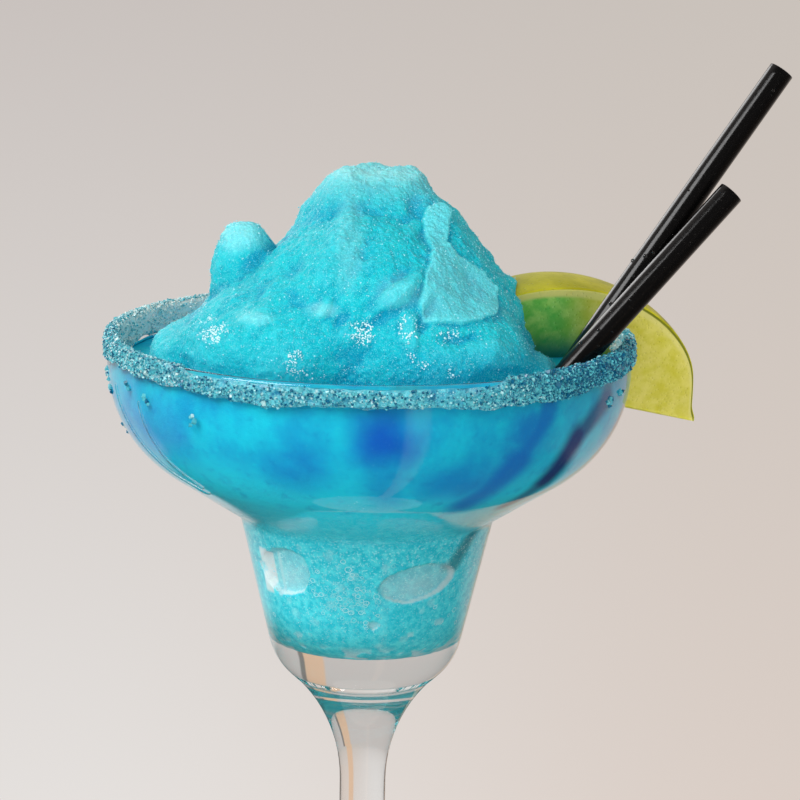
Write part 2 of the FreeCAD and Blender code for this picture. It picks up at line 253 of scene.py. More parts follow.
def closed(grid, ring=False, **values):
    """A closed surface from a grid of points, rows by columns, whose columns run right round.
    In a ring the rows run right round too. Otherwise its first and last rows are poles, where
    all points meet, and fans of triangles close it there."""
    rows, columns = grid.shape[:2]
    here = np.arange(columns)
    beside = (here + 1) % columns
    first = (np.arange(rows if ring else rows - 3) * columns)[:, None]
    above = (first + columns) % (rows * columns)
    quads = side_by_side(first + here, first + beside, above + beside, above + here)
    if ring:
        return Surface(grid, quads, **values)
    last, low = (rows - 3) * columns, (rows - 2) * columns
    fans = np.concatenate([
        side_by_side(beside, here, low), side_by_side(last + here, last + beside, low + 1),
    ])
    values = {key: poled(value) for key, value in values.items()}
    return Surface(poled(grid), quads, fans, **values)


def repeated(shape, points, **values):
    """One surface with this shape's faces over and over, from the points of each copy."""
    count = len(shape.points)
    shift = (np.arange(len(points)) * count)[:, None, None]
    values = {key: np.repeat(value, count) for key, value in values.items()}
    return Surface(points, shape.quads + shift, shape.triangles + shift, **values)


def copies(shape, places, sizes, turns, **values):
    """Many copies of a small shape: each is sized, turned and set in its place."""
    sized = shape.points[None] * sizes[:, None, :]
    points = np.einsum("nij,nkj->nki", turns, sized) + places[:, None]
    return repeated(shape, points, **values)


GEM = Surface(
    [(1, 0, 0), (-1, 0, 0), (0, 1, 0), (0, -1, 0), (0, 0, 1), (0, 0, -1)],
    triangles=[
        (0, 2, 4), (2, 1, 4), (1, 3, 4), (3, 0, 4), (2, 0, 5), (1, 2, 5), (3, 1, 5), (0, 3, 5),
    ],
)
CUBE = Surface(
    list(itertools.product((-0.5, 0.5), repeat=3)),
    [(0, 1, 3, 2), (4, 6, 7, 5), (0, 4, 5, 1), (2, 3, 7, 6), (0, 2, 6, 4), (1, 5, 7, 3)],
)


def piece(name, surface, finish, slot, *nodes, smooth=True):
    """A piece of the object: its mesh in metres, its finish, and the CAD nodes it stands for."""
    mesh = bpy.data.meshes.new(name)
    sides = np.repeat([4, 3], [len(surface.quads), len(surface.triangles)])
    corners = np.concatenate([surface.quads.ravel(), surface.triangles.ravel()])
    mesh.vertices.add(len(surface.points))
    mesh.vertices.foreach_set("co", (surface.points * MM).astype(np.float32).ravel())
    mesh.loops.add(len(corners))
    mesh.loops.foreach_set("vertex_index", corners.astype(np.int32))
    mesh.polygons.add(len(sides))
    starts = np.concatenate([[0], np.cumsum(sides)[:-1]])
    mesh.polygons.foreach_set("loop_start", starts.astype(np.int32))
    mesh.polygons.foreach_set("use_smooth", np.full(len(sides), smooth))
    for key, value in surface.values.items():
        layer = mesh.attributes.new(key, "FLOAT", "POINT")
        layer.data.foreach_set("value", value.astype(np.float32))
    mesh.update(calc_edges=True)
    mesh.validate()
    mesh.materials.append(finish.material)
    made = bpy.data.objects.new(name, mesh)
    bpy.context.scene.collection.objects.link(made)
    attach(made, "root")
    if nodes:
        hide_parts(*nodes)


# ------------ finishes


def tone(red, green, blue):
    """A colour from 0 to 255 in each channel, as the linear numbers that a shader takes."""
    share = np.array([red, green, blue]) / 255
    linear = np.where(share <= 0.04045, share / 12.92, ((share + 0.055) / 1.055) ** 2.4)
    return (*(float(x) for x in linear), 1.0)


def maths(operation, swapped=False):
    """A method of Number that adds a Math node of this operation, on itself and another."""
    def method(number, other):
        terms = (other, number) if swapped else (number, other)
        sockets = dict(enumerate(terms))
        return number.finish.node("ShaderNodeMath", {"operation": operation}, sockets)
    return method


class Number:
    """A number in a material. Arithmetic on it adds Math nodes."""

    __add__ = __radd__ = maths("ADD")
    __mul__ = __rmul__ = maths("MULTIPLY")
    __sub__, __rsub__ = maths("SUBTRACT"), maths("SUBTRACT", swapped=True)
    __truediv__, __rtruediv__ = maths("DIVIDE"), maths("DIVIDE", swapped=True)
    __pow__, larger = maths("POWER"), maths("MAXIMUM")

    def __init__(self, finish, socket):
        self.finish, self.socket = finish, socket

    def between(self, low, high, start=0.0, end=1.0):
        """Eased from start, where this number is low, to end, where it is high."""
        sockets = {"Value": self, "From Min": low, "From Max": high, "To Min": start, "To Max": end}
        settings = {"interpolation_type": "SMOOTHSTEP"}
        return self.finish.node("ShaderNodeMapRange", settings, sockets)


class Finish:
    """A material, or the room's shader. node() adds any node; the rest are its usual uses."""

    def __init__(self, name, tree=None):
        if tree is None:
            self.material = bpy.data.materials.new(name)
            self.material.use_nodes = True
            tree = self.material.node_tree
        self.tree = tree
        self.tree.nodes.clear()

    def node(self, kind, settings=None, sockets=None, out=0):
        """A node of this kind: its settings first, then what its sockets hold or are linked to."""
        made = self.tree.nodes.new(kind)
        for key, value in (settings or {}).items():
            setattr(made, key, value)
        for key, value in (sockets or {}).items():
            if isinstance(value, Number):
                self.tree.links.new(value.socket, made.inputs[key])
            else:
                made.inputs[key].default_value = value
        return Number(self, made.outputs[out])

    def place(self):
        """Where a point of the piece is, in millimetres."""
        sockets = {0: self.node("ShaderNodeTexCoord", out="Object"), "Scale": 1 / MM}
        return self.node("ShaderNodeVectorMath", {"operation": "SCALE"}, sockets)

    def parts(self, vector):
        """The three parts of a vector."""
        split = self.node("ShaderNodeSeparateXYZ", sockets={0: vector})
        return [Number(self, output) for output in split.socket.node.outputs]

    def axes(self):
        """The three parts of place()."""
        return self.parts(self.place())

    def value(self, name):
        """A number stored at the piece's points."""
        return self.node("ShaderNodeAttribute", {"attribute_name": name}, out="Fac")

    def noise(self, size, detail=2.0, rough=0.5):
        """Noise from 0 to 1 with features about this many millimetres across."""
        sockets = {"Scale": 1 / size, "Detail": detail, "Roughness": rough}
        return self.node("ShaderNodeTexNoise", sockets={"Vector": self.place(), **sockets})

    def cells(self, size):
        """Distance from the nearest point of a jumbled grid of this size."""
        sockets = {"Vector": self.place(), "Scale": 1 / size}
        return self.node("ShaderNodeTexVoronoi", sockets=sockets, out="Distance")

    def mix(self, share, first, second):
        """The first colour, turning to the second as share goes from 0 to 1."""
        sockets = {0: share, 6: first, 7: second}
        return self.node("ShaderNodeMix", {"data_type": "RGBA"}, sockets, out=2)

    def layers(self, colour, *layers):
        """A colour with others laid over it in turn, each as far as its own share goes."""
        for share, over in layers:
            colour = self.mix(share, colour, over)
        return colour

    def bump(self, height, depth, under=None):
        """A normal for relief of this depth in millimetres, where height goes from 0 to 1, on
        top of the normal under it."""
        sockets = {"Height": height, "Distance": depth * MM, "Strength": 1.0}
        if under is not None:
            sockets["Normal"] = under
        return self.node("ShaderNodeBump", sockets=sockets)

    def shader(self, **sockets):
        """The Principled shader, with underscores for the spaces in its sockets' names."""
        named = {key.replace("_", " "): value for key, value in sockets.items()}
        return self.node("ShaderNodeBsdfPrincipled", sockets=named)

    def either(self, share, first, second):
        """The first shader, turning to the second as share goes from 0 to 1."""
        return self.node("ShaderNodeMixShader", sockets={0: share, 1: first, 2: second})

    def done(self, shader, kind="ShaderNodeOutputMaterial"):
        """The finish itself, once this shader is its output."""
        output = self.tree.nodes.new(kind)
        self.tree.links.new(shader.socket, output.inputs[0])
        return self

    def solid(self, **sockets):
        """The finish itself, as a Principled material with these sockets."""
        return self.done(self.shader(**sockets))

    def clear(self, **sockets):
        """The same for a clear material, which lets the lamps' light straight through it."""
        through = self.node("ShaderNodeBsdfTransparent")
        shader = self.shader(Transmission_Weight=1.0, **sockets)
        return self.done(self.either(self.rays("Shadow"), shader, through))

    def rays(self, *names):
        """1 for rays of any of these kinds, as Light Path names them, and 0 for the others."""
        path = self.node("ShaderNodeLightPath").socket.node.outputs
        total, *others = [Number(self, path[f"Is {name} Ray"]) for name in names]
        for other in others:
            total = total.larger(other)
        return total

    def looking(self):
        """1 for rays that look at the room, straight, in a mirror or through glass."""
        return self.rays("Camera", "Glossy", "Transmission")

    def mirrored(self):
        """1 for rays that a mirror has sent, and 0 for those that went through glass."""
        return self.rays("Glossy") * (1 - self.rays("Transmission"))


def clear_glass():
    """Clear polished glass, with a faint mist of condensation on the cold bowl and a frosted
    band round the top of the cup."""
    finish = Finish("clear_glass")
    z = finish.axes()[2]
    cold = z.between(108, 122) * z.between(168, 163)
    mist = finish.noise(0.7, 3.0, 0.7)
    frosted = z.between(126, 129) * z.between(141, 135) * mist.between(0.3, 0.6, 0.1, 0.2)
    return finish.clear(
        Base_Color=(0.985, 0.995, 0.995, 1), IOR=1.5,
        Roughness=cold * mist.between(0.45, 0.75) * 0.06 + frosted,
        Normal=finish.bump(mist * cold, 0.006),
    )


def packed_slush():
    """Slush against the glass: smooth blue liquid in the bowl, grainy ice in the cup. Painted light
    makes the bottom of the bowl brighter, painted shade streaks it where the straws show through,
    and painted reflections make it pale where air lies behind the glass.
    """
    finish = Finish("packed_slush")
    z = finish.axes()[2]
    cup = z.between(146, 128)
    cloud = finish.noise(9.0, 3.0, 0.55)
    wisp = finish.noise(3.0, 5.0, 0.65)
    grain = finish.noise(0.45, 2.0, 0.6)
    fine = finish.noise(1.6, 4.0, 0.65)
    liquid = finish.layers(
        tone(26, 172, 214),
        (cloud.between(0.3, 0.7), tone(30, 202, 226)),
        # Painted light: brighter towards the bottom of the bowl, which faces down and gets less light.
        (z.between(158, 142), tone(40, 228, 246)),
        (wisp.between(0.5, 0.75) * 0.5, tone(30, 214, 232)),
        # Deep blue in patches and at the back, and along the streaks painted shade of the straws.
        (finish.value("blue"), tone(20, 96, 196)),
        (wisp.between(0.5, 0.25) * 0.35, tone(20, 124, 196)),
    )
    icy = finish.layers(
        tone(36, 196, 214),
        (fine.between(0.35, 0.68), tone(92, 226, 234)),
        (grain.between(0.54, 0.7) * (z.between(112, 124) * 0.4 + 0.3), tone(190, 244, 248)),
    )
    colour = finish.layers(
        liquid,
        (cup, icy),
        # Painted shade where the straws show through the slush, and a dark streak in the cup.
        (finish.value("dark"), finish.mix(cup, tone(12, 40, 114), tone(24, 62, 80))),
        # Pale at the air behind the glass, painted reflections, and on the pale froth of the cup.
        (finish.value("pale"), tone(216, 232, 234)),
        (grain.between(0.62, 0.82) * 0.2, tone(110, 216, 232)),
    )
    return finish.solid(
        Base_Color=colour, Roughness=0.5, IOR=1.33, Specular_IOR_Level=0.1,
        Subsurface_Weight=0.35, Subsurface_Radius=(0.3, 1.1, 1.3), Subsurface_Scale=0.0015,
        Normal=finish.bump(fine, 0.2),
    )


def heaped_slush():
    """Wet crushed ice: fine frosty grain, whiter where it stands out and bluer in the folds, a
    painted light and shade; paler at the top, a painted light, and darker under the slab, a
    painted shade.
    """
    finish = Finish("heaped_slush")
    x, _, z = finish.axes()
    grain = finish.noise(0.26, 1.0, 0.6)
    clump = finish.noise(2.6, 3.0, 0.6)
    broad = finish.noise(14.0, 2.0, 0.5)
    relief, frost = finish.value("relief"), finish.value("frost")
    colour = finish.layers(
        tone(4, 164, 184),
        (clump.between(0.3, 0.7), tone(18, 188, 200)),
        (broad.between(0.35, 0.7) * 0.4, tone(28, 188, 198)),
        # Painted shade in the folds and painted light where the heap stands out, by relief.
        (relief.between(0.45, 0.12) * 0.7, tone(0, 140, 178)),
        (relief.between(0.55, 0.85) * 0.45, tone(66, 204, 214)),
        (frost, tone(142, 222, 226)),
        # Painted light: paler towards the top of the heap.
        (z.between(200, 211) * 0.55, tone(150, 214, 214)),
        # Painted shade under the slab, low on the right of the front.
        (x.between(2, 12) * z.between(179, 171) * 0.5, tone(0, 142, 176)),
        (grain.between(0.53, 0.65) * (frost * 0.7 + 0.27), tone(140, 232, 238)),
    )
    return finish.solid(
        Base_Color=colour, Roughness=grain.between(0.35, 0.7, 0.6, 0.3), IOR=1.31,
        Specular_IOR_Level=0.2, Subsurface_Weight=0.7, Subsurface_Radius=(0.4, 1.1, 1.3),
        Subsurface_Scale=0.0008,
        Normal=finish.bump(grain, 0.16, finish.bump(finish.cells(0.9), -0.3)),
    )


def ice_grain():
    """Loose grains of clear ice on the heap, teal to nearly white; the whitest, where the heap
    glitters, are a painted glint.
    """
    finish = Finish("ice_grain")
    return finish.solid(
        Base_Color=finish.mix(finish.value("chance"), tone(90, 208, 220), tone(226, 248, 250)),
        Roughness=0.12, IOR=1.31, Specular_IOR_Level=0.8, Coat_Weight=0.6, Coat_Roughness=0.05,
    )


def wet_sugar():
    """Sugar that the drink has soaked and dyed: blue between its beads and paler on them, a
    painted shade and painted light; white where it has dried and where light is painted on the
    back and inside; faintly pink inside the back."""
    finish = Finish("wet_sugar")
    patch = finish.noise(1.6, 3.0, 0.6)
    grit = finish.cells(0.5)
    colour = finish.layers(
        tone(4, 96, 138),
        # Painted light on the beads and painted shade between them.
        (finish.value("lump").between(0.2, 0.75), tone(88, 188, 202)),
        (patch.between(0.4, 0.62) * 0.55, tone(20, 136, 168)),
        # White where it has dried, and painted light on the back and inside.
        (finish.value("dry"), tone(236, 244, 240)),
        (finish.value("blush"), tone(254, 240, 236)),
        (grit.between(0.35, 0.1) * 0.35, tone(206, 232, 234)),
    )
    return finish.solid(
        Base_Color=colour, Roughness=0.28, IOR=1.45, Coat_Weight=0.5, Coat_Roughness=0.1,
        Subsurface_Weight=0.4, Subsurface_Radius=(0.6, 1.0, 1.1), Subsurface_Scale=0.0008,
        Normal=finish.bump(grit, 0.2),
    )


def sugar_crystal():
    """Single crystals: some stained deep blue or teal, some nearly white."""
    finish = Finish("sugar_crystal")
    share = finish.value("chance")
    colour = finish.layers(
        tone(4, 84, 118),
        (share.between(0.0, 0.5), tone(80, 180, 192)),
        (share.between(0.45, 1.0), tone(226, 236, 232)),
    )
    return finish.solid(
        Base_Color=colour, Roughness=0.16, IOR=1.5, Coat_Weight=0.3, Coat_Roughness=0.05,
    )


def black_plastic():
    """Gloss black plastic with a faint brown cast and fine dust."""
    finish = Finish("black_plastic")
    dust = finish.noise(0.5, 2.0, 0.7)
    black, dusty = (0.0022, 0.002, 0.002, 1), (0.04, 0.037, 0.034, 1)
    return finish.solid(
        Base_Color=finish.mix(dust.between(0.66, 0.74) * 0.4, black, dusty),
        Roughness=dust.between(0.3, 0.8, 0.13, 0.24), IOR=1.45, Specular_IOR_Level=0.4,
    )


def lime_fruit():
    """Lime: oily rind, a pale line of pith, and moist flesh that the drink has dyed inside."""
    finish = Finish("lime_fruit")
    x, _, z = finish.axes()
    depth = finish.value("depth")
    pores = finish.cells(0.9)
    juice = finish.noise(3.2, 3.0, 0.6)
    skin = depth.between(0.985, 0.992)
    green = finish.mix(juice.between(0.3, 0.75), tone(96, 182, 74), tone(164, 208, 104))
    rind = finish.layers(
        tone(160, 156, 16),
        (finish.noise(6.0).between(0.3, 0.7), tone(188, 182, 36)),
        (pores.between(0.0, 0.35, 0.35, 0.0), tone(110, 120, 30)),
    )
    colour = finish.layers(
        tone(190, 184, 62),
        (juice.between(0.3, 0.7), tone(206, 199, 102)),
        (x.between(52, 40), green),
        (z.between(172, 165) * x.between(56, 48), tone(20, 118, 100)),
        (depth.between(0.90, 0.94), tone(206, 200, 116)),
        (depth.between(0.962, 0.972) * x.between(54, 60), tone(112, 118, 26)),
        (skin, rind),
    )
    return finish.solid(
        Base_Color=colour, Roughness=skin * 0.1 + 0.3, IOR=1.4, Specular_IOR_Level=0.4,
        Subsurface_Weight=0.5, Subsurface_Radius=(1.0, 1.0, 0.3), Subsurface_Scale=0.002,
        Normal=finish.bump(pores.between(0.0, 0.4), 0.12),
    )


def water():
    """Clear drops and runs of syrup."""
    return Finish("water").clear(Base_Color=(0.96, 0.99, 1.0, 1), IOR=1.36, Roughness=0.02)


def bubble_skin():
    """The bright inner face of small bubbles that touch the glass: its pale colour is a painted
    reflection at their air.
    """
    finish = Finish("bubble_skin")
    # Painted reflection: the bubbles are pale for the light their air gives back.
    colour = finish.mix(finish.value("chance"), tone(96, 216, 228), tone(206, 242, 246))
    return finish.solid(Base_Color=colour, Roughness=0.3, IOR=1.2)


# ------------ the glass


def glass_piece():
    """The whole glass, spun from its half-section: underside, foot, stem, cup and bowl outside,
    the round lip, then down the inside to the floor of the cup."""
    line = rounded(((0.0, 0.0, 0.0), *OUTSIDE, *INSIDE, FLOOR), 4.0)
    longest = 4.0
    runs = [
        np.linspace(a, b, max(2, int(np.linalg.norm(b - a) / longest) + 1))[:-1]
        for a, b in zip(line, line[1:])
    ]
    line = np.concatenate([*runs, line[-1:]])
    piece("glass_clear", closed(spun(line, 256)), clear_glass(), "glass", "glass")


def wall_radius(height, corners):
    """Radius of a wall of the bowl or cup at a height, read off its half-section."""
    line = rounded(corners)
    upright = line[np.argsort(line[:, 1])]
    return np.interp(height, upright[:, 1], upright[:, 0])


def inner_radius(height):
    """Radius of the glass's inner face at a height."""
    return wall_radius(height, ((MOUTH, BRIM, 0), *INSIDE, FLOOR))


def outer_radius(height):
    """Radius of its outer face at a height."""
    return wall_radius(height, OUTSIDE[3:8])


def on_wall(azimuth, height, radius):
    """Points at azimuths in degrees and heights, on a wall with this radius function."""
    height = np.asarray(height, float)
    return polar(radius(height), np.radians(azimuth), height)


# ------------ slush in the bowl and cup

# Air pockets behind the glass: across and height of the middle, half width, half height, tilt.
POCKETS = (
    (10.9, 121.6, 8.1, 4.4, 12.0), (-16.9, 123.0, 5.3, 5.8, 8.0), (1.9, 111.7, 1.3, 1.0, 0.0),
    (15.6, 111.0, 1.0, 0.9, 0.0), (9.7, 109.0, 0.8, 0.7, 0.0), (-13.5, 107.6, 0.9, 0.7, 0.0),
)
# Deep blue where there is least ice: across, height, half width, half height, strength.
BLUES = (
    (4.5, 161.0, 9.0, 8.5, 0.95), (20.0, 150.0, 12.0, 6.0, 0.62), (-13.0, 153.5, 9.0, 6.5, 0.45),
    (4.0, 149.0, 7.0, 7.0, 0.42), (-44.0, 157.0, 10.0, 9.0, 0.35), (34.0, 160.0, 4.5, 7.0, 0.6),
)
# Blue and dark streaks along straight lines: the two ends, half width and strength. The blue
# ones and the first three dark ones are painted shade where the straws show through the slush;
# the last dark one lies in the cup.
BLUE_STRAW_SHADE_STREAKS = (
    ((37.5, -42, 165), (31, -43.5, 154), 3.2, 0.7), ((31, -43.5, 154), (20, -40, 146), 5.0, 0.8),
)
DARK_STREAKS = (
    ((50, -26, 164), (44, -33.5, 157), 3.4, 0.8), ((44, -33.5, 157), (37, -32, 148.5), 4.2, 0.95),
    ((37, -32, 148.5), (29, -30, 143.5), 3.4, 0.7),
    ((22.0, -14.5, 130.5), (18.4, -17.0, 124.0), 2.5, 0.6),
)
FILL_COLUMNS = 512


def patches(points, spots, soft=1.0):
    """How far each point lies in oval spots on the front, given as across, height, half width,
    half height and strength: ease of 1.25 minus the oval's own distance, over 1.1 times soft,
    and the largest of them."""
    x, y, z = np.moveaxis(points, -1, 0)
    total = np.zeros(x.shape)
    for across, height, wide, tall, strength in spots:
        away = np.hypot((x - across) / wide, (z - height) / tall)
        total = np.maximum(total, strength * ease((1.25 - away) / (1.1 * soft)))
    return total * ease(0.5 - y / 10)


def streaks(points, lines):
    """How far each point lies in streaks: ease of 1.3 minus its distance from the line over the
    half width, the largest of them."""
    total = np.zeros(points.shape[:-1])
    for start, end, half_width, strength in lines:
        run = np.subtract(end, start)
        share = np.clip(((points - start) @ run) / (run @ run), 0, 1)
        away = length(points - start - share[..., None] * run)
        total = np.maximum(total, strength * ease(1.3 - away / half_width))
    return total


def fill_grid():
    """The fill's grid of points: the inner wall's half-section, set a little into the glass, up
    to a level that clings higher to the front, then the rim of the top and in to its middle.
    With it come the points of the glass's inner face that its first rows lie on."""
    upright, into_glass, wall_rows, top_rows = 150.0, 0.3, 168, 18
    corners = (FLOOR, *reversed(INSIDE), (MOUTH, FILL, 0.0))
    outline = spaced(rounded(corners, 3.0), 400)
    height = (outline[1:, 1] + outline[:-1, 1]) / 2
    dense = 1 + 1.4 * (height > 102.5) * (height < 131) - 0.75 * (height < 102.3)
    wall = spaced(outline, wall_rows, dense)
    azimuth = azimuths(FILL_COLUMNS)
    front = ease((azimuth + 172) / 14) * ease((2 - azimuth) / 16)
    wave = swell(spun([[RIM, 0]], FILL_COLUMNS)[0], 6.0, 7) * 0.3
    level = FILL + (CLING - FILL) * front + wave
    share = np.clip((wall[:, 1:] - upright) / (FILL - upright), 0, 1)
    height = wall[:, 1:] + share * (level - FILL)
    facing = np.broadcast_to(outward(wall)[:, None], (*height.shape, 2))
    bore = np.where(wall[:, 1:] > upright, inner_radius(height), wall[:, :1])
    section = side_by_side(bore, height)
    rim = section[-1:] + np.array([[[-0.1, 0.12]], [[-0.7, 0.05]]])
    across = (rim[-1:, :, 0] - 0.5) * np.linspace(1, 0, top_rows)[:, None]
    sunk = FILL + (rim[-1:, :, 1] - FILL) * ease((across - 38) / 16)
    line = np.concatenate([section + facing * into_glass, rim, side_by_side(across, sunk)])
    line[0, :, 0] = 0.0
    return spun(line, FILL_COLUMNS), spun(section, FILL_COLUMNS)


def trapped_air(face, dice):
    """How deep air behind the glass pushes the fill in, and how pale the fill is painted there.
    Pockets are uneven ovals, paler inside and with a bright crescent inside their edge, painted
    reflections of the glass over the air; small bubbles with a faint painted pale spot, pale froth
    on the floor of the cup and a bright band on its left, a painted reflection, come after."""
    x, y, z = np.moveaxis(face, -1, 0)
    dent, pale = np.zeros(x.shape), np.zeros(x.shape)
    edge = layered(face, (2.4, 5, 0.12), (0.9, 6, 0.05))
    for across, height, wide, tall, tilt in POCKETS:
        u, v = turned(x - across, z - height, tilt)
        v = np.where(v > 0, v * 1.25, v * 0.92)
        away = np.hypot(u / wide, v / tall) + edge * min(1.0, 2.0 / wide + 0.3)
        inside = ease((1.06 - away) / 0.2) * (y < 0)
        # The crescent and the paleness inside a pocket are painted reflections of the glass.
        crescent = near(away, 0.96, 0.05) * ease(0.5 - v / tall * 0.8 + u / wide * 0.3)
        dent = np.maximum(dent, inside * min(1.0, wide / 3) * (wide > 1.2))
        glow = 0.22 + 0.2 * ease(1 - np.hypot(u / wide, v / tall + 0.4))
        pale = np.maximum(pale, np.maximum(inside * glow, crescent * 0.8 * (y < 0)))
    # Small bubbles, each a faint pale spot painted for the light its air gives back.
    bubbles = 60
    azimuth, height = dice.uniform(-180, 180, bubbles), dice.uniform(106, 129, bubbles)
    middles = on_wall(azimuth, height, inner_radius)
    for middle, radius in zip(middles, dice.uniform(0.6, 1.3, bubbles)):
        away = length(face - middle) / radius
        pale = np.maximum(pale, ease((1.15 - away) / 0.5) * 0.16)
    froth = ease((106.5 - z) / 3.0) * ease(layered(face, (2.6, 17, 1.0), (1.2, 18, 0.5)) / 0.35)
    # A bright band on the cup's left: a painted reflection in the curved glass.
    slant = x + 19.8 + (z - 121) * 0.18
    band = ease((0.95 - np.abs(slant + 0.9)) / 0.35)
    band = band + ease((0.55 - np.abs(slant - 1.3)) / 0.3) * 0.55
    band = band * ease((5.6 - np.abs(z - 121.2)) / 0.9) * (y < 0)
    return dent * 1.5 + froth * 0.55, np.maximum(np.maximum(pale, froth * 0.55), band)


def fill_piece(dice):
    """Liquid and ice from the cup's floor to its level in the bowl, pushed inwards where air is
    trapped behind the glass, with a rippled top. Blue, dark and pale say where it takes those
    colours: blue behind and in patches; blue and dark along the streaks, painted shade where the
    straws show through; pale at the air, painted reflections of the glass, and on froth."""
    grid, face = fill_grid()
    rows = len(face)
    depth, pale = trapped_air(face, dice)
    grid[:rows] -= unit(face * (1, 1, 0) + 1e-9) * depth[..., None]
    top = grid[rows + 2:]
    top[..., 2] += layered(top, (7.0, 8, 0.25), (2.5, 9, 0.12))
    grid[0], grid[-1] = grid[0].mean(axis=0), grid[-1].mean(axis=0)
    blue = patches(grid + swell(grid, 6.0, 31)[..., None] * 1.5, BLUES)
    cloudy = ease((layered(grid, (13.0, 21, 0.6), (6.0, 22, 0.4)) - 0.05) / 0.5)
    behind = ease(grid[..., 1] / 20) * cloudy * 0.8
    blue = np.maximum(blue, behind) * ease((grid[..., 2] - 136) / 8)
    # Along the streaks: painted shade where the straws show through the slush.
    blue = np.maximum(blue, streaks(grid, BLUE_STRAW_SHADE_STREAKS))
    pale = np.concatenate([pale, np.zeros((len(grid) - rows, FILL_COLUMNS))])
    surface = closed(grid, blue=blue, dark=streaks(grid, DARK_STREAKS), pale=pale)
    piece("slush_fill", surface, packed_slush(), "slush", "slush")


# ------------ the heap of slush

# Lumps that make up the heap, in hundredths of its width and height: across, back, above the
# rim, then the half sizes across, back and up.
LUMPS = {
    "core": (-6, 0, -31, 82, 75, 78), "front": (-4, -28, 13, 49, 43, 57),
    "peak": (-3, 2, 34, 34, 33, 56), "shoulder": (33, -4, 18, 35, 37, 37),
    "knob": (-59, -6, 46, 7, 12, 16), "knob_right": (-52.5, -6, 47, 6.5, 11, 15),
    "knob_side": (-62.5, -6, 35, 7, 12, 13), "knob_foot": (-56, -8, 24, 9, 18, 22),
    "left_flank": (-39, -6, 10, 27, 35, 27),
    "bridge": (-24, -4, 15, 17, 26, 26), "left_skirt": (-75, -16, -13, 23, 28, 23),
    "right_slope": (28, -6, 36, 25, 30, 40), "front_bump": (14, -50, 22, 22, 20, 22),
    "front_left": (-35, -39, 0, 43, 41, 36), "front_right": (24, -41, -3, 45, 41, 36),
    "brow": (-11.5, -3, 53, 15.5, 25, 42), "crown": (8, 0, 52, 25, 27, 41),
    "right_skirt": (67, -33, -18, 20, 24, 16), "back": (4, 35, 10, 55, 41, 47),
    "back_left": (-33, 28, 14, 26, 24, 30), "back_right": (42, 24, -8, 27, 28, 32),
}
# The heap's flat right face: the way it faces, and how far off the axis's foot it lies.
RIGHT_FACE = (unit(np.array([0.80, -0.05, 0.60])), 133.6)
# Low swellings on the front, in millimetres: across, height, half length, half width, the turn
# of their length from level in degrees, how far they stand out, how soon they rise from the edge.
DABS = {
    "finger": (6.2, 186.8, 7.4, 3.0, 36, 2.6, 0.8),
    "finger_shade": (12.0, 182.0, 5.0, 2.2, 70, -1.3, 0.9),
    "finger_foot": (2.6, 181.6, 7.0, 1.8, 30, -0.8, 0.9),
    "rib": (-7.0, 196.0, 9.5, 3.0, 62, 1.2, 0.8), "rib_shade": (-1.5, 193.5, 9.5, 2.4, 62, -0.8, 0.9),
    "low_left": (-23.7, 181.0, 4.6, 2.2, 10, 0.9, 0.9), "left_fold": (-20.0, 184.0, 9.0, 3.0, 48, 1.0, 0.9),
    "middle": (-5.0, 178.0, 7.0, 4.0, -15, 0.9, 0.9), "tongue": (-9.6, 183.0, 3.6, 1.7, 50, 1.2, 0.8),
    "tongue_shade": (-5.6, 180.6, 4.4, 1.8, 40, -0.7, 0.9), "vee": (8.4, 179.2, 5.0, 2.2, 100, 1.2, 0.6),
    "right_low": (26.0, 174.0, 7.0, 4.0, -20, 0.9, 0.8),
    "upper_left": (-10.0, 188.0, 7.0, 3.5, 30, 0.9, 0.9),
    "nub": (9.0, 197.6, 2.8, 1.8, 10, 1.0, 0.7), "hollow": (9.0, 202.0, 4.0, 2.8, 110, -1.2, 0.9),
    "neck_shade": (-16.0, 190.0, 6.0, 2.6, 55, -0.9, 0.9),
    "slab_shade": (19.0, 177.6, 8.0, 1.8, 0, -0.9, 0.9),
}
# The flat slab of packed ice that lies on the right of the front: its outline, across and height.
SLAB = (
    (10.6, 198.6), (12.0, 201.2), (14.6, 201.4), (16.8, 199.6), (16.6, 196.6), (15.8, 194.4),
    (18.6, 191.6), (22.8, 188.4), (26.4, 184.6), (26.6, 181.2), (19.0, 180.4), (11.4, 180.8),
    (10.2, 184.4), (11.2, 189.4), (12.8, 193.0), (11.4, 195.6),
)
# Pale frosty patches and glittering ones: across, height, half width, half height, strength.
FROST = (
    (-9.6, 183.2, 3.6, 1.8, 0.4), (-23.7, 181.2, 4.2, 1.4, 0.4),
    (6.4, 187.0, 6.0, 3.4, 0.2), (-4.5, 196.0, 3.4, 10.0, 0.25),
    (-29.0, 196.0, 6.5, 5.0, 0.6), (2.0, 209.0, 16.0, 2.6, 0.55),
)
GLITTER = (
    (-33.0, 177.4, 4.4, 2.6, 1.0), (-15.0, 172.9, 2.4, 3.2, 1.0), (-12.2, 171.2, 4.2, 2.4, 1.0),
    (-1.6, 178.8, 3.6, 2.9, 1.0), (8.2, 180.4, 2.0, 3.0, 1.0), (9.2, 176.6, 1.2, 3.4, 1.0),
    (16.5, 178.4, 3.3, 1.5, 0.7), (17.5, 171.6, 2.2, 1.5, 0.7), (11.8, 172.8, 1.2, 1.2, 0.9),
    (-3.5, 171.6, 3.0, 1.8, 0.35),
)
HEAP_CORE = np.array([-3.0, -3.0, FILL])


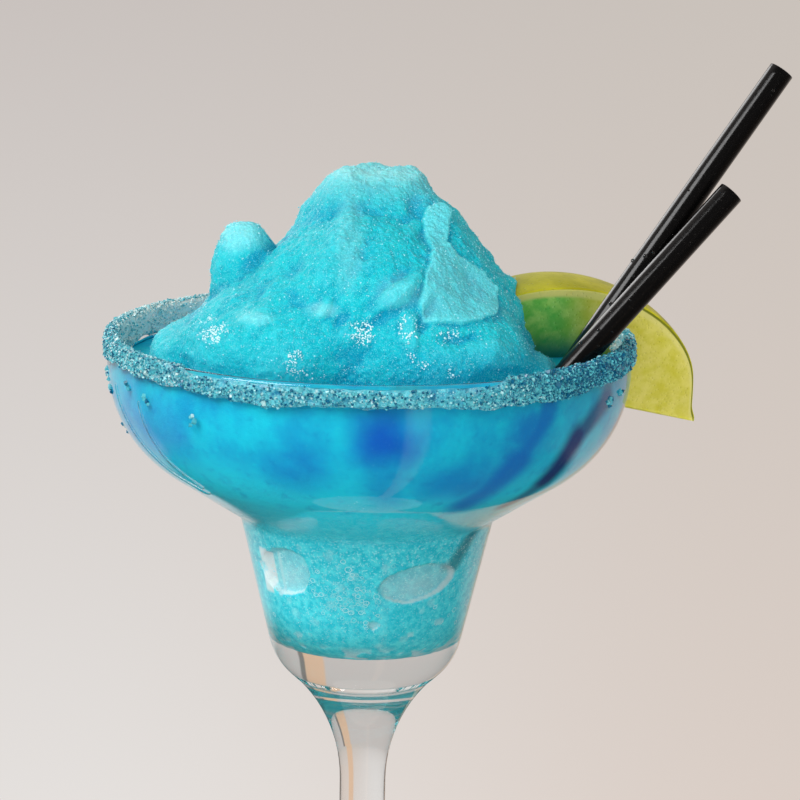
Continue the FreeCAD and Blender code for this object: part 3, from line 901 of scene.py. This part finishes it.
def lump_field(points, lumps):
    """Distance outside the joined lumps, near enough: for one oval lump with half sizes h it is
    k (k - 1) / |q / h^2|, where q is the point seen from the lump's middle and k = |q / h|; the
    lumps join as -blend * log of the sum of exp(-distance / blend)."""
    blend = 1.5
    total = np.zeros(len(points))
    for middle, half in lumps:
        q = points - middle
        k = length(q / half) + 1e-6
        away = k * (k - 1) / (length(q / half**2) + 1e-9)
        total += np.exp(np.clip(-away / blend, -40, 40))
    return -blend * np.log(total + 1e-30)


def reach(directions, lumps):
    """Distance along each direction from the heap's core to the outermost face of the lumps:
    from well outside, it moves in by the field's distance until it arrives."""
    start, steps = 75.0, 34
    distance = np.full(len(directions), start)
    for _ in range(steps):
        points = HEAP_CORE + directions * distance[:, None]
        distance = np.maximum(distance - lump_field(points, lumps) * 0.9, 2.0)
    return distance


def blurred(grid, span):
    """Each value's mean over span rows and columns to each side, columns running right round."""
    width = 2 * span + 1
    for axis, mode in enumerate(("edge", "wrap")):
        pad = [(0, 0), (0, 0)]
        pad[axis] = (span + 1, span)
        run = np.cumsum(np.pad(grid, pad, mode=mode), axis=axis)
        ahead = np.take(run, np.arange(width, run.shape[axis]), axis=axis)
        behind = np.take(run, np.arange(0, run.shape[axis] - width), axis=axis)
        grid = (ahead - behind) / width
    return grid


def inside_by(points, outline):
    """How far points (across, height) lie inside a closed outline; outside it is negative. The
    distance is to the nearest side, and a point is inside where a level line from it crosses
    the sides an odd number of times."""
    corners = np.array(outline, float)
    nearest, odd = np.full(len(points), 1e9), np.zeros(len(points), bool)
    for start, end in zip(corners, np.roll(corners, -1, axis=0)):
        run = end - start
        share = np.clip(((points - start) @ run) / (run @ run), 0, 1)
        nearest = np.minimum(nearest, length(points - start - share[:, None] * run))
        between = (start[1] > points[:, 1]) != (end[1] > points[:, 1])
        crossing = start[0] + (points[:, 1] - start[1]) / (run[1] or 1e-9) * run[0]
        odd ^= between & (points[:, 0] < crossing)
    return np.where(odd, nearest, -nearest)


def front_relief(points):
    """What the swellings and the slab add to the heap's front, and where the slab is: each
    swelling is its own height times the ease of how far a point lies inside its oval, and the
    slab is a plate with a steep uneven edge."""
    jog = side_by_side(swell(points, 3.2, 45), swell(points, 3.2, 46))
    flat = points[:, [0, 2]]
    across, height = (flat + jog * 0.6).T
    total = np.zeros(len(points))
    for x, z, long, wide, tilt, raised, rise in DABS.values():
        along, over = turned(across - x, height - z, tilt)
        total += raised * ease((1 - np.hypot(along / long, over / wide)) / rise)
    slab = inside_by(flat + jog * 0.35, SLAB)
    total += 1.1 * ease((slab + 0.3) / 0.6)
    front = ease(0.3 - points[:, 1] / 6)
    return total * front, ease((slab + 0.2) / 0.5) * front


def shaved(distance, directions, facing, level, soft):
    """Distances from the heap's core, cut off at a plane that faces this way: the smaller of the
    two, blended as -soft * log of the sum of exp(-distance / soft)."""
    slope = directions @ facing
    plane = np.where(slope > 0.05, (level - HEAP_CORE @ facing) / np.maximum(slope, 0.05), 999.0)
    least = np.minimum(distance, plane)
    return least - soft * np.log(np.exp((least - distance) / soft) + np.exp((least - plane) / soft))


def heap_piece(dice):
    """The heap, as distances from its core over a grid of directions: down is the angle from
    upright. The distance is where the joined lumps end, cut to the right face, with bumps at
    the back, small flats all over, the front's relief and noise for the clumps and crumbs of
    ice, and it stops just under the liquid's level."""
    rows, columns, bumps, flats = 176, 540, 26, 90
    below_level = radians(104, 112, 125, 145, 165, 180)
    down = np.concatenate([np.linspace(0, math.radians(99), rows - 6), below_level])[:, None]
    flat = polar(np.sin(down), all_round(columns), np.cos(down)).reshape(-1, 3)
    across, up = (MOUTH - 7.0) / 100, (PEAK - BRIM) / 97
    scale = np.array([across, across, up])
    lumps = [
        ((0.0, 0.0, BRIM) + np.array(lump[:3]) * scale, np.array(lump[3:]) * scale)
        for lump in LUMPS.values()
    ]
    distance = shaved(reach(flat, lumps), flat, *RIGHT_FACE, 0.5)
    points = HEAP_CORE + flat * distance[:, None]
    hidden = points[points[:, 1] > 4]
    for middle in hidden[dice.integers(len(hidden), size=bumps)]:
        size, height = dice.uniform(4, 8), dice.uniform(0.7, 1.6)
        away = length((points - middle) * (1, 1, 1.4))
        distance += height * ease(1 - away / size)
    distance += swell(points, 9.0, 41) * 0.7
    points = HEAP_CORE + flat * distance[:, None]
    facing = grid_normals(points.reshape(rows, columns, 3)).reshape(-1, 3)
    for index in dice.integers(len(points), size=flats):
        here, lean = points[index], unit(facing[index] + dice.normal(size=3) * 0.12)
        close = length(points - here) < 8.0
        level = lean @ here - dice.uniform(0.1, 0.55)
        trimmed = shaved(distance[close], flat[close], lean, level, 0.12)
        distance[close] = np.maximum(trimmed, distance[close] - 1.0)
    raised, slab = front_relief(points)
    distance = distance + raised
    smooth = distance.reshape(rows, columns)
    ridges = sum(
        (1 - 2 * np.abs(swell(points, size, seed))) * height
        for size, seed, height in ((7.0, 52, 0.4), (3.4, 42, 0.2))
    )
    distance = distance + ridges + crumbs(points, 1.7, 47) * 0.46 + swell(points, 0.8, 48) * 0.2
    drop = np.minimum(flat[:, 2], -1e-6)
    below = np.where(flat[:, 2] < -1e-6, (FILL - 5.0 - HEAP_CORE[2]) / drop, 1e9)
    distance = np.minimum(distance, below)
    grid = (HEAP_CORE + flat * distance[:, None]).reshape(rows, columns, 3)
    grid[0], grid[-1] = grid[0].mean(axis=0), grid[-1].mean(axis=0)
    fine = distance.reshape(rows, columns)
    broad = blurred(blurred(smooth, 9), 6)
    # Relief: how far each point stands out from its surroundings; the finish paints light and shade by it.
    relief = np.clip(0.5 + (smooth - broad) * 0.42 + (fine - blurred(fine, 4)) * 0.35, 0, 1)
    frost = patches(grid + swell(grid, 3.0, 51)[..., None] * 0.8, FROST, 0.8)
    frost = np.maximum(frost, slab.reshape(rows, columns) * 0.3)
    grid = grid[::-1]
    surface = closed(grid, relief=relief[::-1], frost=frost[::-1])
    piece("slush_heap", surface, heaped_slush(), "slush", "slush")
    return grid


def picked(grid, weight, count, dice, *values):
    """Random points of a grid, as likely as their area times weight and jogged a little, with
    their normals and what these values are there."""
    normals = grid_normals(grid)
    around = np.roll(grid, -1, axis=1) - grid
    area = length(np.cross(around, np.gradient(grid, axis=0))) * weight
    share = area.ravel() / area.sum()
    index = dice.choice(share.size, count, p=share)
    places = grid.reshape(-1, 3)[index] + dice.normal(size=(count, 3)) * 0.12
    return places, normals.reshape(-1, 3)[index], *(value.ravel()[index] for value in values)


def grain_piece(heap, dice):
    """Loose grains of ice half sunk in the heap, thickest where it glitters."""
    patchy = ease((layered(heap, (1.6, 53, 1.0), (0.8, 54, 0.6)) + 0.3) / 0.5)
    glitter = patches(heap, GLITTER, 0.6) * patchy
    weight = (0.25 + 2.2 * glitter) * (heap[..., 2] > FILL - 0.5)
    count = 10000
    places, normals, bright = picked(heap, weight, count, dice, glitter)
    sizes = dice.uniform(0.06, 0.15, (count, 1)) * (1 + 0.5 * bright[:, None])
    sizes = sizes * dice.uniform(0.6, 1.7, (count, 3))
    # Grains are whiter where the heap glitters, a painted glint.
    grains = copies(
        GEM, places + normals * 0.04, sizes, tumbled(count, dice),
        chance=np.clip(dice.random(count) * 0.55 + bright * 0.6, 0, 1),
    )
    piece("ice_grains", grains, ice_grain(), "slush", "slush", smooth=False)


# ------------ the sugared rim


def crust_piece(dice):
    """The crust of wet sugar. Each column's section runs along the glass from the crust's lower
    edge outside, over the lip, to its edge inside, or at the bare front only to just below the
    lip. It stands off the glass by beads, crumbs and noise, eased to nothing at both edges, and
    comes back a hair inside the glass's face. Crystals lie on it where it stands out most."""
    columns, rows, back_rows = 1000, 64, 8
    deep = 9.0
    mouth = (
        (RIM, BRIM - deep, 0), (RIM, BRIM, 0.9), (MOUTH, BRIM, 0.9), (MOUTH, BRIM - deep, 0),
    )
    lip = spaced(rounded(mouth, 12), 400)
    facing = outward(lip)
    total = length(np.diff(lip, axis=0)).sum()
    run = np.linspace(0, total, len(lip))
    azimuth = azimuths(columns)
    ring = polar(RIM, np.radians(azimuth), 0 * azimuth)
    outside = 5.0 + layered(ring, (11.0, 61, 0.7), (3.5, 62, 0.55), (1.2, 63, 0.25))
    inside = 6.4 + layered(ring, (8.0, 64, 0.7), (3.0, 65, 0.6))
    right, left = near(azimuth, -30, 22), near(azimuth, -147, 18)
    outside = outside - left * 0.7 - near(azimuth, -168, 12) * 0.3
    bare = ease((azimuth + 139) / 10) * ease((-50 - azimuth) / 14)
    low = deep - outside
    high = total - deep + inside
    high = high + (deep - 0.8 + swell(ring, 2.5, 68) * 0.2 - high) * bare
    way_back = np.linspace(1, 0, back_rows + 2)[1:-1]
    share = np.concatenate([np.linspace(0, 1, rows), way_back])[:, None]
    at = low + (high - low) * share
    base, normals = (
        spun(side_by_side(*(np.interp(at, run, part) for part in line.T)), columns)
        for line in (lip, facing)
    )
    edge = ease(np.minimum(at - low, high - at) / 0.7)
    heavy = 0.42 + swell(base, 5.0, 66) * 0.15 + right * 0.35 - left * 0.14
    beads = np.sqrt(np.clip(crumbs(base, 1.9, 67), 0, 1))
    grit = crumbs(base, 0.8, 71)
    thickness = 0.12 + heavy * (beads * (0.55 + 0.6 * bare) + grit * (0.55 - 0.25 * bare))
    stand = np.minimum(thickness * edge, 1.5)
    stand[rows:] = -0.15
    grid = base + normals * stand[..., None]
    inner = ease((at - total / 2) / 1.5)
    back = ease(grid[..., 1] / 25 + 0.3) * 0.6
    blush = ease(swell(base, 3.2, 73) / 0.5) * inner * back
    # Whiter at the back and inside, a painted light; in random patches where it has dried; less at the bare
    # front and on the right.
    dry = back + inner * 0.45 + swell(base, 3.0, 72) * 0.3 + left * 0.15
    dry = np.clip(dry - bare * 0.2 - right * 0.25, 0, 1)
    lump = np.clip(beads * 0.75 + grit * 0.25, 0, 1)
    crust = closed(grid, ring=True, dry=dry, lump=lump, blush=blush)
    piece("sugar_crust", crust, wet_sugar(), "sugar", "sugar_rim")
    weight = np.clip(stand, 0, 1) * (1 + 0.2 * right - 0.62 * bare) * (1 - 0.85 * inner)
    count = 16000
    for part in ("a", "b"):
        # Crystals are whiter where it has dried and where light is painted on the back.
        places, normals, dryness_and_painted_light = picked(grid, weight, count, dice, dry - right * 0.4)
        sizes = dice.lognormal(-1.22, 0.3, (count, 1)) * dice.uniform(0.75, 1.2, (count, 3))
        crystals = copies(
            CUBE, places + normals * 0.05, sizes, tumbled(count, dice),
            chance=np.clip(dice.random(count) * 0.7 + dryness_and_painted_light * 0.5, 0, 1),
        )
        name = f"sugar_crystals_{part}"
        piece(name, crystals, crystal_finish, "sugar", "sugar_rim", smooth=False)


def stray_piece(dice):
    """A few clumps of sugar that have slid down the outside of the bowl, each given as azimuth,
    height and number of crystals."""
    clumps = np.array([
        (-167, 161, 8), (-175, 150.5, 16), (-170, 163.5, 7), (-128.5, 161.5, 5), (-152, 164.0, 4),
        (-143, 163.0, 4), (-20, 163.5, 6), (-27, 163.0, 5), (65, 163, 6), (120, 160, 5), (170, 164, 7),
    ])
    azimuth, height = np.repeat(clumps[:, :2], clumps[:, 2].astype(int), axis=0).T
    count = len(azimuth)
    azimuth = azimuth + dice.normal(size=count) * 0.7
    height = height + dice.normal(size=count) * 0.55
    places = on_wall(azimuth, height, outer_radius)
    sizes = dice.uniform(0.45, 1.0, (count, 1)) * dice.uniform(0.8, 1.2, (count, 3))
    turns = tumbled(count, dice)
    crystals = copies(CUBE, places, sizes, turns, chance=dice.random(count) * 0.7)
    piece("stray_sugar", crystals, crystal_finish, "sugar", "sugar_rim", smooth=False)


# ------------ drips, bubbles


def tube_grid(middle, radius, sides):
    """Circles of the given radii round a line of points, square to it. The first and last radii
    are nought, which makes the poles."""
    along = unit(np.gradient(middle, axis=0))
    across = unit(np.cross(along, np.array([0.13, 0.21, 0.97])))
    up = np.cross(along, across)
    out = circle(across[:, None], up[:, None], all_round(sides))
    return middle[:, None] + out * np.asarray(radius)[:, None, None]


def drip_piece():
    """Two thin runs of syrup down the outside of the bowl: round beads carried along a smooth
    line on the wall, ending in a fuller drop."""
    runs = (
        ((-160, 164.5), (-158, 158), (-153, 151.5), (-146, 146.0), (-135, 142.3)),
        ((-147, 163.0), (-146, 157), (-143, 150.0), (-135, 143.8)),
    )
    tubes = []
    for run in runs:
        path = np.pad(spaced(np.array(run, float), 70), ((6, 6), (0, 0)), mode="edge")
        azimuth, height = (np.convolve(part, np.ones(13) / 13, "valid") for part in path.T)
        middle = on_wall(azimuth, height, outer_radius)
        share = np.linspace(0, 1, len(middle))
        radius = 0.34 + 0.30 * ease((share - 0.8) / 0.15)
        radius = radius * np.sqrt(np.clip(1 - np.abs(2 * share - 1) ** 16, 0, 1))
        tubes.append(closed(tube_grid(middle, radius, 10)))
    joined = repeated(tubes[0], np.stack([tube.points for tube in tubes]))
    piece("syrup_runs", joined, water_finish, "glass", "glass")


def bubble_piece(dice):
    """Bubbles against the inside of the cup. The small ones are gems at the glass, the larger
    ones show as rings, each a small tube carried round a circle that lies on the wall."""
    front, rest, corner = 520, 620, 90
    azimuth = np.concatenate([
        dice.normal(-105, 17, front), dice.uniform(-180, 180, rest), dice.normal(-35, 9, corner)
    ])
    height = np.concatenate([
        dice.normal(117, 5.5, front), dice.uniform(105, 138, rest), dice.normal(127.5, 3.2, corner)
    ])
    places = on_wall(azimuth, np.clip(height, 104.5, 140), inner_radius)
    count = len(places)
    out = unit(places * np.array([1, 1, 0]))
    sizes = dice.uniform(0.06, 0.19, (count, 1)) * np.ones((1, 3))
    turns = tumbled(count, dice)
    small = copies(GEM, places + out * 0.3, sizes, turns, chance=dice.random(count) ** 0.7)
    skin = bubble_skin()
    piece("wall_bubbles", small, skin, "slush", "slush")
    front, rest = 90, 90
    azimuth = np.concatenate([dice.normal(-100, 11, front), dice.uniform(-180, 180, rest)])
    height = np.concatenate([dice.normal(117.5, 3.8, front), dice.uniform(106.5, 128, rest)])
    height = np.clip(height, 106, 130)
    places = on_wall(azimuth, height, inner_radius)
    count = len(places)
    up = unit(on_wall(azimuth, height + 0.5, inner_radius) - places)
    side = unit(np.cross([0.0, 0.0, 1.0], places))
    out = np.cross(side, up)
    tube = 0.14
    bend = all_round(6)[:, None]
    loop = closed(polar(1 + tube * np.cos(bend), all_round(18), tube * np.sin(bend)), ring=True)
    sizes = dice.uniform(0.2, 0.45, (count, 1)) * dice.uniform(0.8, 1.7, (count, 1))
    turns, sizes = side_by_side(side, up, out), sizes * [[1, 0.9, 0.8]]
    rings = copies(loop, places + out * 0.34, sizes, turns, chance=dice.random(count))
    piece("bubble_rings", rings, skin, "slush", "slush")


# ------------ lime and straws


def lime_piece():
    """A wedge cut lengthwise from a lime. Across its length each section is a slice of pie: out
    from the core along one cut face, round the rind, and back along the other. The rind is oval:
    half length * cos(a) along it, radius * sin(a) across it, and a is the section's station.
    Depth grows from 0 at the core to 1 at the rind, which the finish colours by."""
    half_length, radius, half_angle = 33.3, 27.6, math.radians(21.5)
    heading, tilt = radians(20.0, 13.7)
    middle = polar(45.7, heading, 155.7)
    ahead = polar(math.cos(tilt), heading, -math.sin(tilt))
    up = polar(math.sin(tilt), heading, math.cos(tilt))
    side = np.array([math.sin(heading), -math.cos(heading), 0.0])
    stations = np.linspace(0, math.pi, 150)
    cut, rind = np.linspace(0, 1, 40), np.linspace(1, -1, 46)[1:-1]
    out = np.concatenate([cut, np.ones(len(rind)), cut[:0:-1]])
    face = np.concatenate([np.ones(len(cut)), rind, -np.ones(len(cut) - 1)])
    flat = np.abs(face) == 1
    nipple = 1 + 0.06 * np.exp(-(stations / 0.10) ** 2)
    forward = half_length * np.cos(stations) * nipple
    girth = np.sin(stations) * (1 - 0.10 * np.exp(-((stations - 0.28) / 0.16) ** 2))
    girth = girth[:, None]
    puff = 0.35 * np.sin(np.pi * out) * np.sign(face) * flat
    lift, angle = radius * girth * out, half_angle * face
    grid = (
        middle + forward[:, None, None] * ahead
        + (lift * np.cos(angle))[..., None] * up
        + (lift * np.sin(angle) + puff * girth)[..., None] * side
    )
    grid = grid + side * (swell(grid, 4.0, 91) * 0.12 * flat)[..., None]
    grid[0], grid[-1] = grid[0].mean(axis=0), grid[-1].mean(axis=0)
    depth = np.maximum(1 - (1 - out) * girth, 0)
    piece("lime_slice", closed(grid, depth=depth), lime_fruit(), "lime", "lime_wedge")


def straw_axis(spot, lean, heading, above, below):
    """A straw's two ends, from where it passes the mouth's level and how it leans."""
    lean, heading = radians(lean, heading)
    way = polar(math.sin(lean), heading, math.cos(lean))
    spot = np.array([*spot, BRIM])
    return spot - way * below, spot + way * above


def straw_piece(name, ends, node):
    """A drinking straw: a ring of circles up its outside, over its cut end and down its bore."""
    low, high = ends
    way = unit(high - low)
    across = unit(np.cross(way, np.array([0.0, 1.0, 0.0])))
    end = length(high - low)
    run = np.linspace(0, 1, 60) * (end - 0.12)
    side = np.concatenate([
        side_by_side(STRAW, run),
        [[STRAW - 0.05, end - 0.03], [STRAW - 0.14, end]],
        [[BORE + 0.1, end], [BORE + 0.02, end - 0.04]],
        side_by_side(BORE, run[::-1]),
    ])
    out = circle(across, np.cross(way, across), all_round(72))
    grid = low + side[:, None, :1] * out + side[:, None, 1:] * way
    piece(name, closed(grid[::-1], ring=True), straw_finish, "straw", node)


def drop_piece(name, ends, spots, node):
    """Drops of water on a straw: balls of latitude rows, half sunk in its side. Each spot is its
    share of the straw's length, its turn from the front in degrees and its radius."""
    low, high = ends
    way = unit(high - low)
    side = unit(np.cross(way, np.array([0.0, -1.0, 0.0])))
    front = np.cross(side, way)
    share, turn, radius = np.array(spots, float).T
    places = low + (high - low) * share[:, None] + circle(front, side, np.radians(turn)) * STRAW
    latitude = np.linspace(-math.pi / 2, math.pi / 2, 9)
    ball = spun(side_by_side(np.cos(latitude), np.sin(latitude)), 12)
    ball[0], ball[-1] = [0, 0, -1], [0, 0, 1]
    shape = closed(ball)
    drops = repeated(shape, places[:, None] + shape.points * radius[:, None, None])
    piece(name, drops, water_finish, "straw", node)


# ------------ the room


def backdrop():
    """A wide pale floor. Near the glass it takes light and shadow as a floor does, and right round
    the foot it is coloured darker, a painted shadow; further off it shows a plain tone that
    darkens with distance. What the glass shows of it, by mirroring or through itself, is darker
    in front and to the sides, with a bright strip on the right."""
    finish = Finish("pale_floor")
    x, y, _ = finish.axes()
    away = (x * x + y * y) ** 0.5
    near_by = 1 / (away / 1000 + 0.635)
    ranges = {"Value": near_by, "From Min": 0.254, "From Max": 1.235}
    close = finish.node("ShaderNodeMapRange", sockets=ranges)
    warm = finish.mix(close, tone(202, 194, 187), tone(219, 207, 199))
    cool = finish.mix(close, tone(201, 194, 190), tone(229, 225, 222))
    shade = finish.mix((x * near_by / 1000).between(-0.13, 0.15), cool, warm)
    mirror = finish.mirrored()
    near_front = finish.mix(mirror, tone(128, 124, 120), tone(70, 68, 67))
    front = y.between(40, -60)
    sideways, across = x * x / (away * away + 1), x / (away + 1)
    strip = across.between(0.25, 0.29) * across.between(0.46, 0.42)
    dim = finish.layers(
        shade,
        (front + (1 - front) * mirror * away.between(250, 200), near_front),
        (sideways.between(0.72, 0.86) * 0.75, tone(96, 82, 72)),
        (strip * 0.8, tone(226, 186, 150)),
    )
    shade = finish.mix(finish.rays("Camera"), dim, shade)
    # Painted shadow: darker right round the glass's foot.
    ground = finish.mix(away.between(70, 25) * 0.7, tone(214, 209, 205), tone(150, 146, 143))
    flat = finish.node("ShaderNodeBsdfDiffuse", sockets={"Color": ground})
    glow = finish.node("ShaderNodeEmission", sockets={"Color": shade, "Strength": 1.0})
    plain = finish.looking() * away.between(110, 190)
    finish.done(finish.either(plain + (1 - plain) * mirror, flat, glow))
    mesh = bpy.data.meshes.new("floor")
    size, sunk = 9.0, 0.0002
    corners = [(-size, -size, 0), (size, -size, 0), (size, size, 0), (-size, size, 0)]
    mesh.from_pydata(corners, [], [(0, 1, 2, 3)])
    mesh.materials.append(finish.material)
    floor = bpy.data.objects.new("floor", mesh)
    floor.location = (0, 0, -sunk)
    bpy.context.scene.collection.objects.link(floor)


def room_light():
    """The room: a soft even light, and for what is seen directly or in gloss a plain tone that
    is darker in front of the glass than behind it. What the glass shows from behind it has a
    bright strip on the right with a dark edge."""
    world = bpy.data.worlds.new("room")
    world.use_nodes = True
    bpy.context.scene.world = world
    finish = Finish("room", world.node_tree)
    side, back, _ = finish.parts(finish.node("ShaderNodeTexCoord", out="Generated"))
    behind = back.between(-0.5, 0.2)
    front = finish.mix(finish.mirrored(), tone(180, 174, 170), tone(84, 82, 81))
    unseen = behind * (1 - finish.rays("Camera"))
    strip = side.between(0.28, 0.31) * side.between(0.5, 0.47) * unseen
    edge = side.between(0.47, 0.49) * side.between(0.55, 0.52) * unseen
    shade = finish.layers(
        front,
        (behind, tone(200, 193, 189)),
        (strip * 0.8, tone(226, 186, 150)),
        (edge * 0.7, tone(84, 78, 72)),
    )
    soft, plain = (
        finish.node("ShaderNodeBackground", sockets={"Color": colour, "Strength": strength})
        for colour, strength in (((1.0, 0.97, 0.95, 1), 0.5), (shade, 1.0))
    )
    finish.done(finish.either(finish.looking(), soft, plain), "ShaderNodeOutputWorld")


def lamp(name, place, aim, size, watts, mirrored=True):
    """A square soft lamp at place, facing aim, both in metres. No lamp shows through the glass,
    and where mirrored is False none shows in it either."""
    light = bpy.data.lights.new(name, "AREA")
    light.shape, light.size, light.energy = "SQUARE", size, watts
    made = bpy.data.objects.new(name, light)
    made.location = place
    made.rotation_euler = (Vector(aim) - Vector(place)).to_track_quat("-Z", "Y").to_euler()
    made.visible_transmission = False
    made.visible_glossy = mirrored
    bpy.context.scene.collection.objects.link(made)


def camera():
    """The camera looks slightly down on the glass from the front, a little tilted."""
    aim, distance = np.array([6.9, 0.0, 156.9]), 650.0
    down, roll = radians(12.05, 1.1)
    data = bpy.data.cameras.new("camera")
    data.sensor_width, data.lens = 36.0, 131.5
    data.clip_start, data.clip_end = 0.01, 50.0
    made = bpy.data.objects.new("camera", data)
    ahead = np.array([0.0, math.cos(down), -math.sin(down)])
    across = np.array([1.0, 0.0, 0.0])
    up = np.cross(across, ahead)
    right = across * math.cos(roll) + up * math.sin(roll)
    top = up * math.cos(roll) - across * math.sin(roll)
    axes = Matrix(side_by_side(right, top, -ahead).tolist()).to_4x4()
    made.matrix_world = Matrix.Translation((aim - ahead * distance) * MM) @ axes
    bpy.context.scene.collection.objects.link(made)
    bpy.context.scene.camera = made


# ------------ everything in place

crystal_finish = sugar_crystal()
straw_finish = black_plastic()
water_finish = water()

glass_piece()
fill_piece(np.random.default_rng(11))
heap = heap_piece(np.random.default_rng(12))
grain_piece(heap, np.random.default_rng(13))
crust_piece(np.random.default_rng(14))
stray_piece(np.random.default_rng(15))
drip_piece()
bubble_piece(np.random.default_rng(16))
lime_piece()

# Drops on the straws: share of the length, turn from the front, radius.
LONG_DROPS = (
    (0.955, 10, 0.42), (0.56, -8, 0.4), (0.545, -28, 0.5), (0.525, -75, 0.45), (0.5, -20, 0.3),
    (0.43, -30, 0.5), (0.42, 5, 0.3), (0.61, 20, 0.25), (0.7, -40, 0.25),
)
SHORT_DROPS = (
    (0.565, -50, 0.35), (0.51, -35, 0.4), (0.455, -60, 0.4), (0.48, 10, 0.3), (0.53, 15, 0.25),
    (0.62, -20, 0.25),
)
short_spot = np.array([45.89, -21.79])
long_spot = short_spot + np.array([0.6, 6.5])
long_ends = straw_axis(long_spot, 36.0, 17.1, 74.0, 36.0)
short_ends = straw_axis(short_spot, 43.3, 16.2, 47.5, 37.0)
straw_piece("straw_long_tube", long_ends, "straw_long")
straw_piece("straw_short_tube", short_ends, "straw_short")
drop_piece("drops_long", long_ends, LONG_DROPS, "straw_long")
drop_piece("drops_short", short_ends, SHORT_DROPS, "straw_short")

backdrop()
room_light()
lamp("key", (-0.6, -0.5, 0.7), (0, 0, 0.15), 0.5, 6.3)
lamp("back", (-0.45, 0.7, 0.55), (0, 0, 0.17), 0.5, 3.0)
lamp("low", (0.05, -0.75, 0.06), (0, 0, 0.14), 0.6, 4.8, mirrored=False)
lamp("side", (0.55, -0.45, 0.6), (0, 0, 0.17), 0.5, 1.2, mirrored=False)
camera()

view = bpy.context.scene.view_settings
view.view_transform = "Standard"
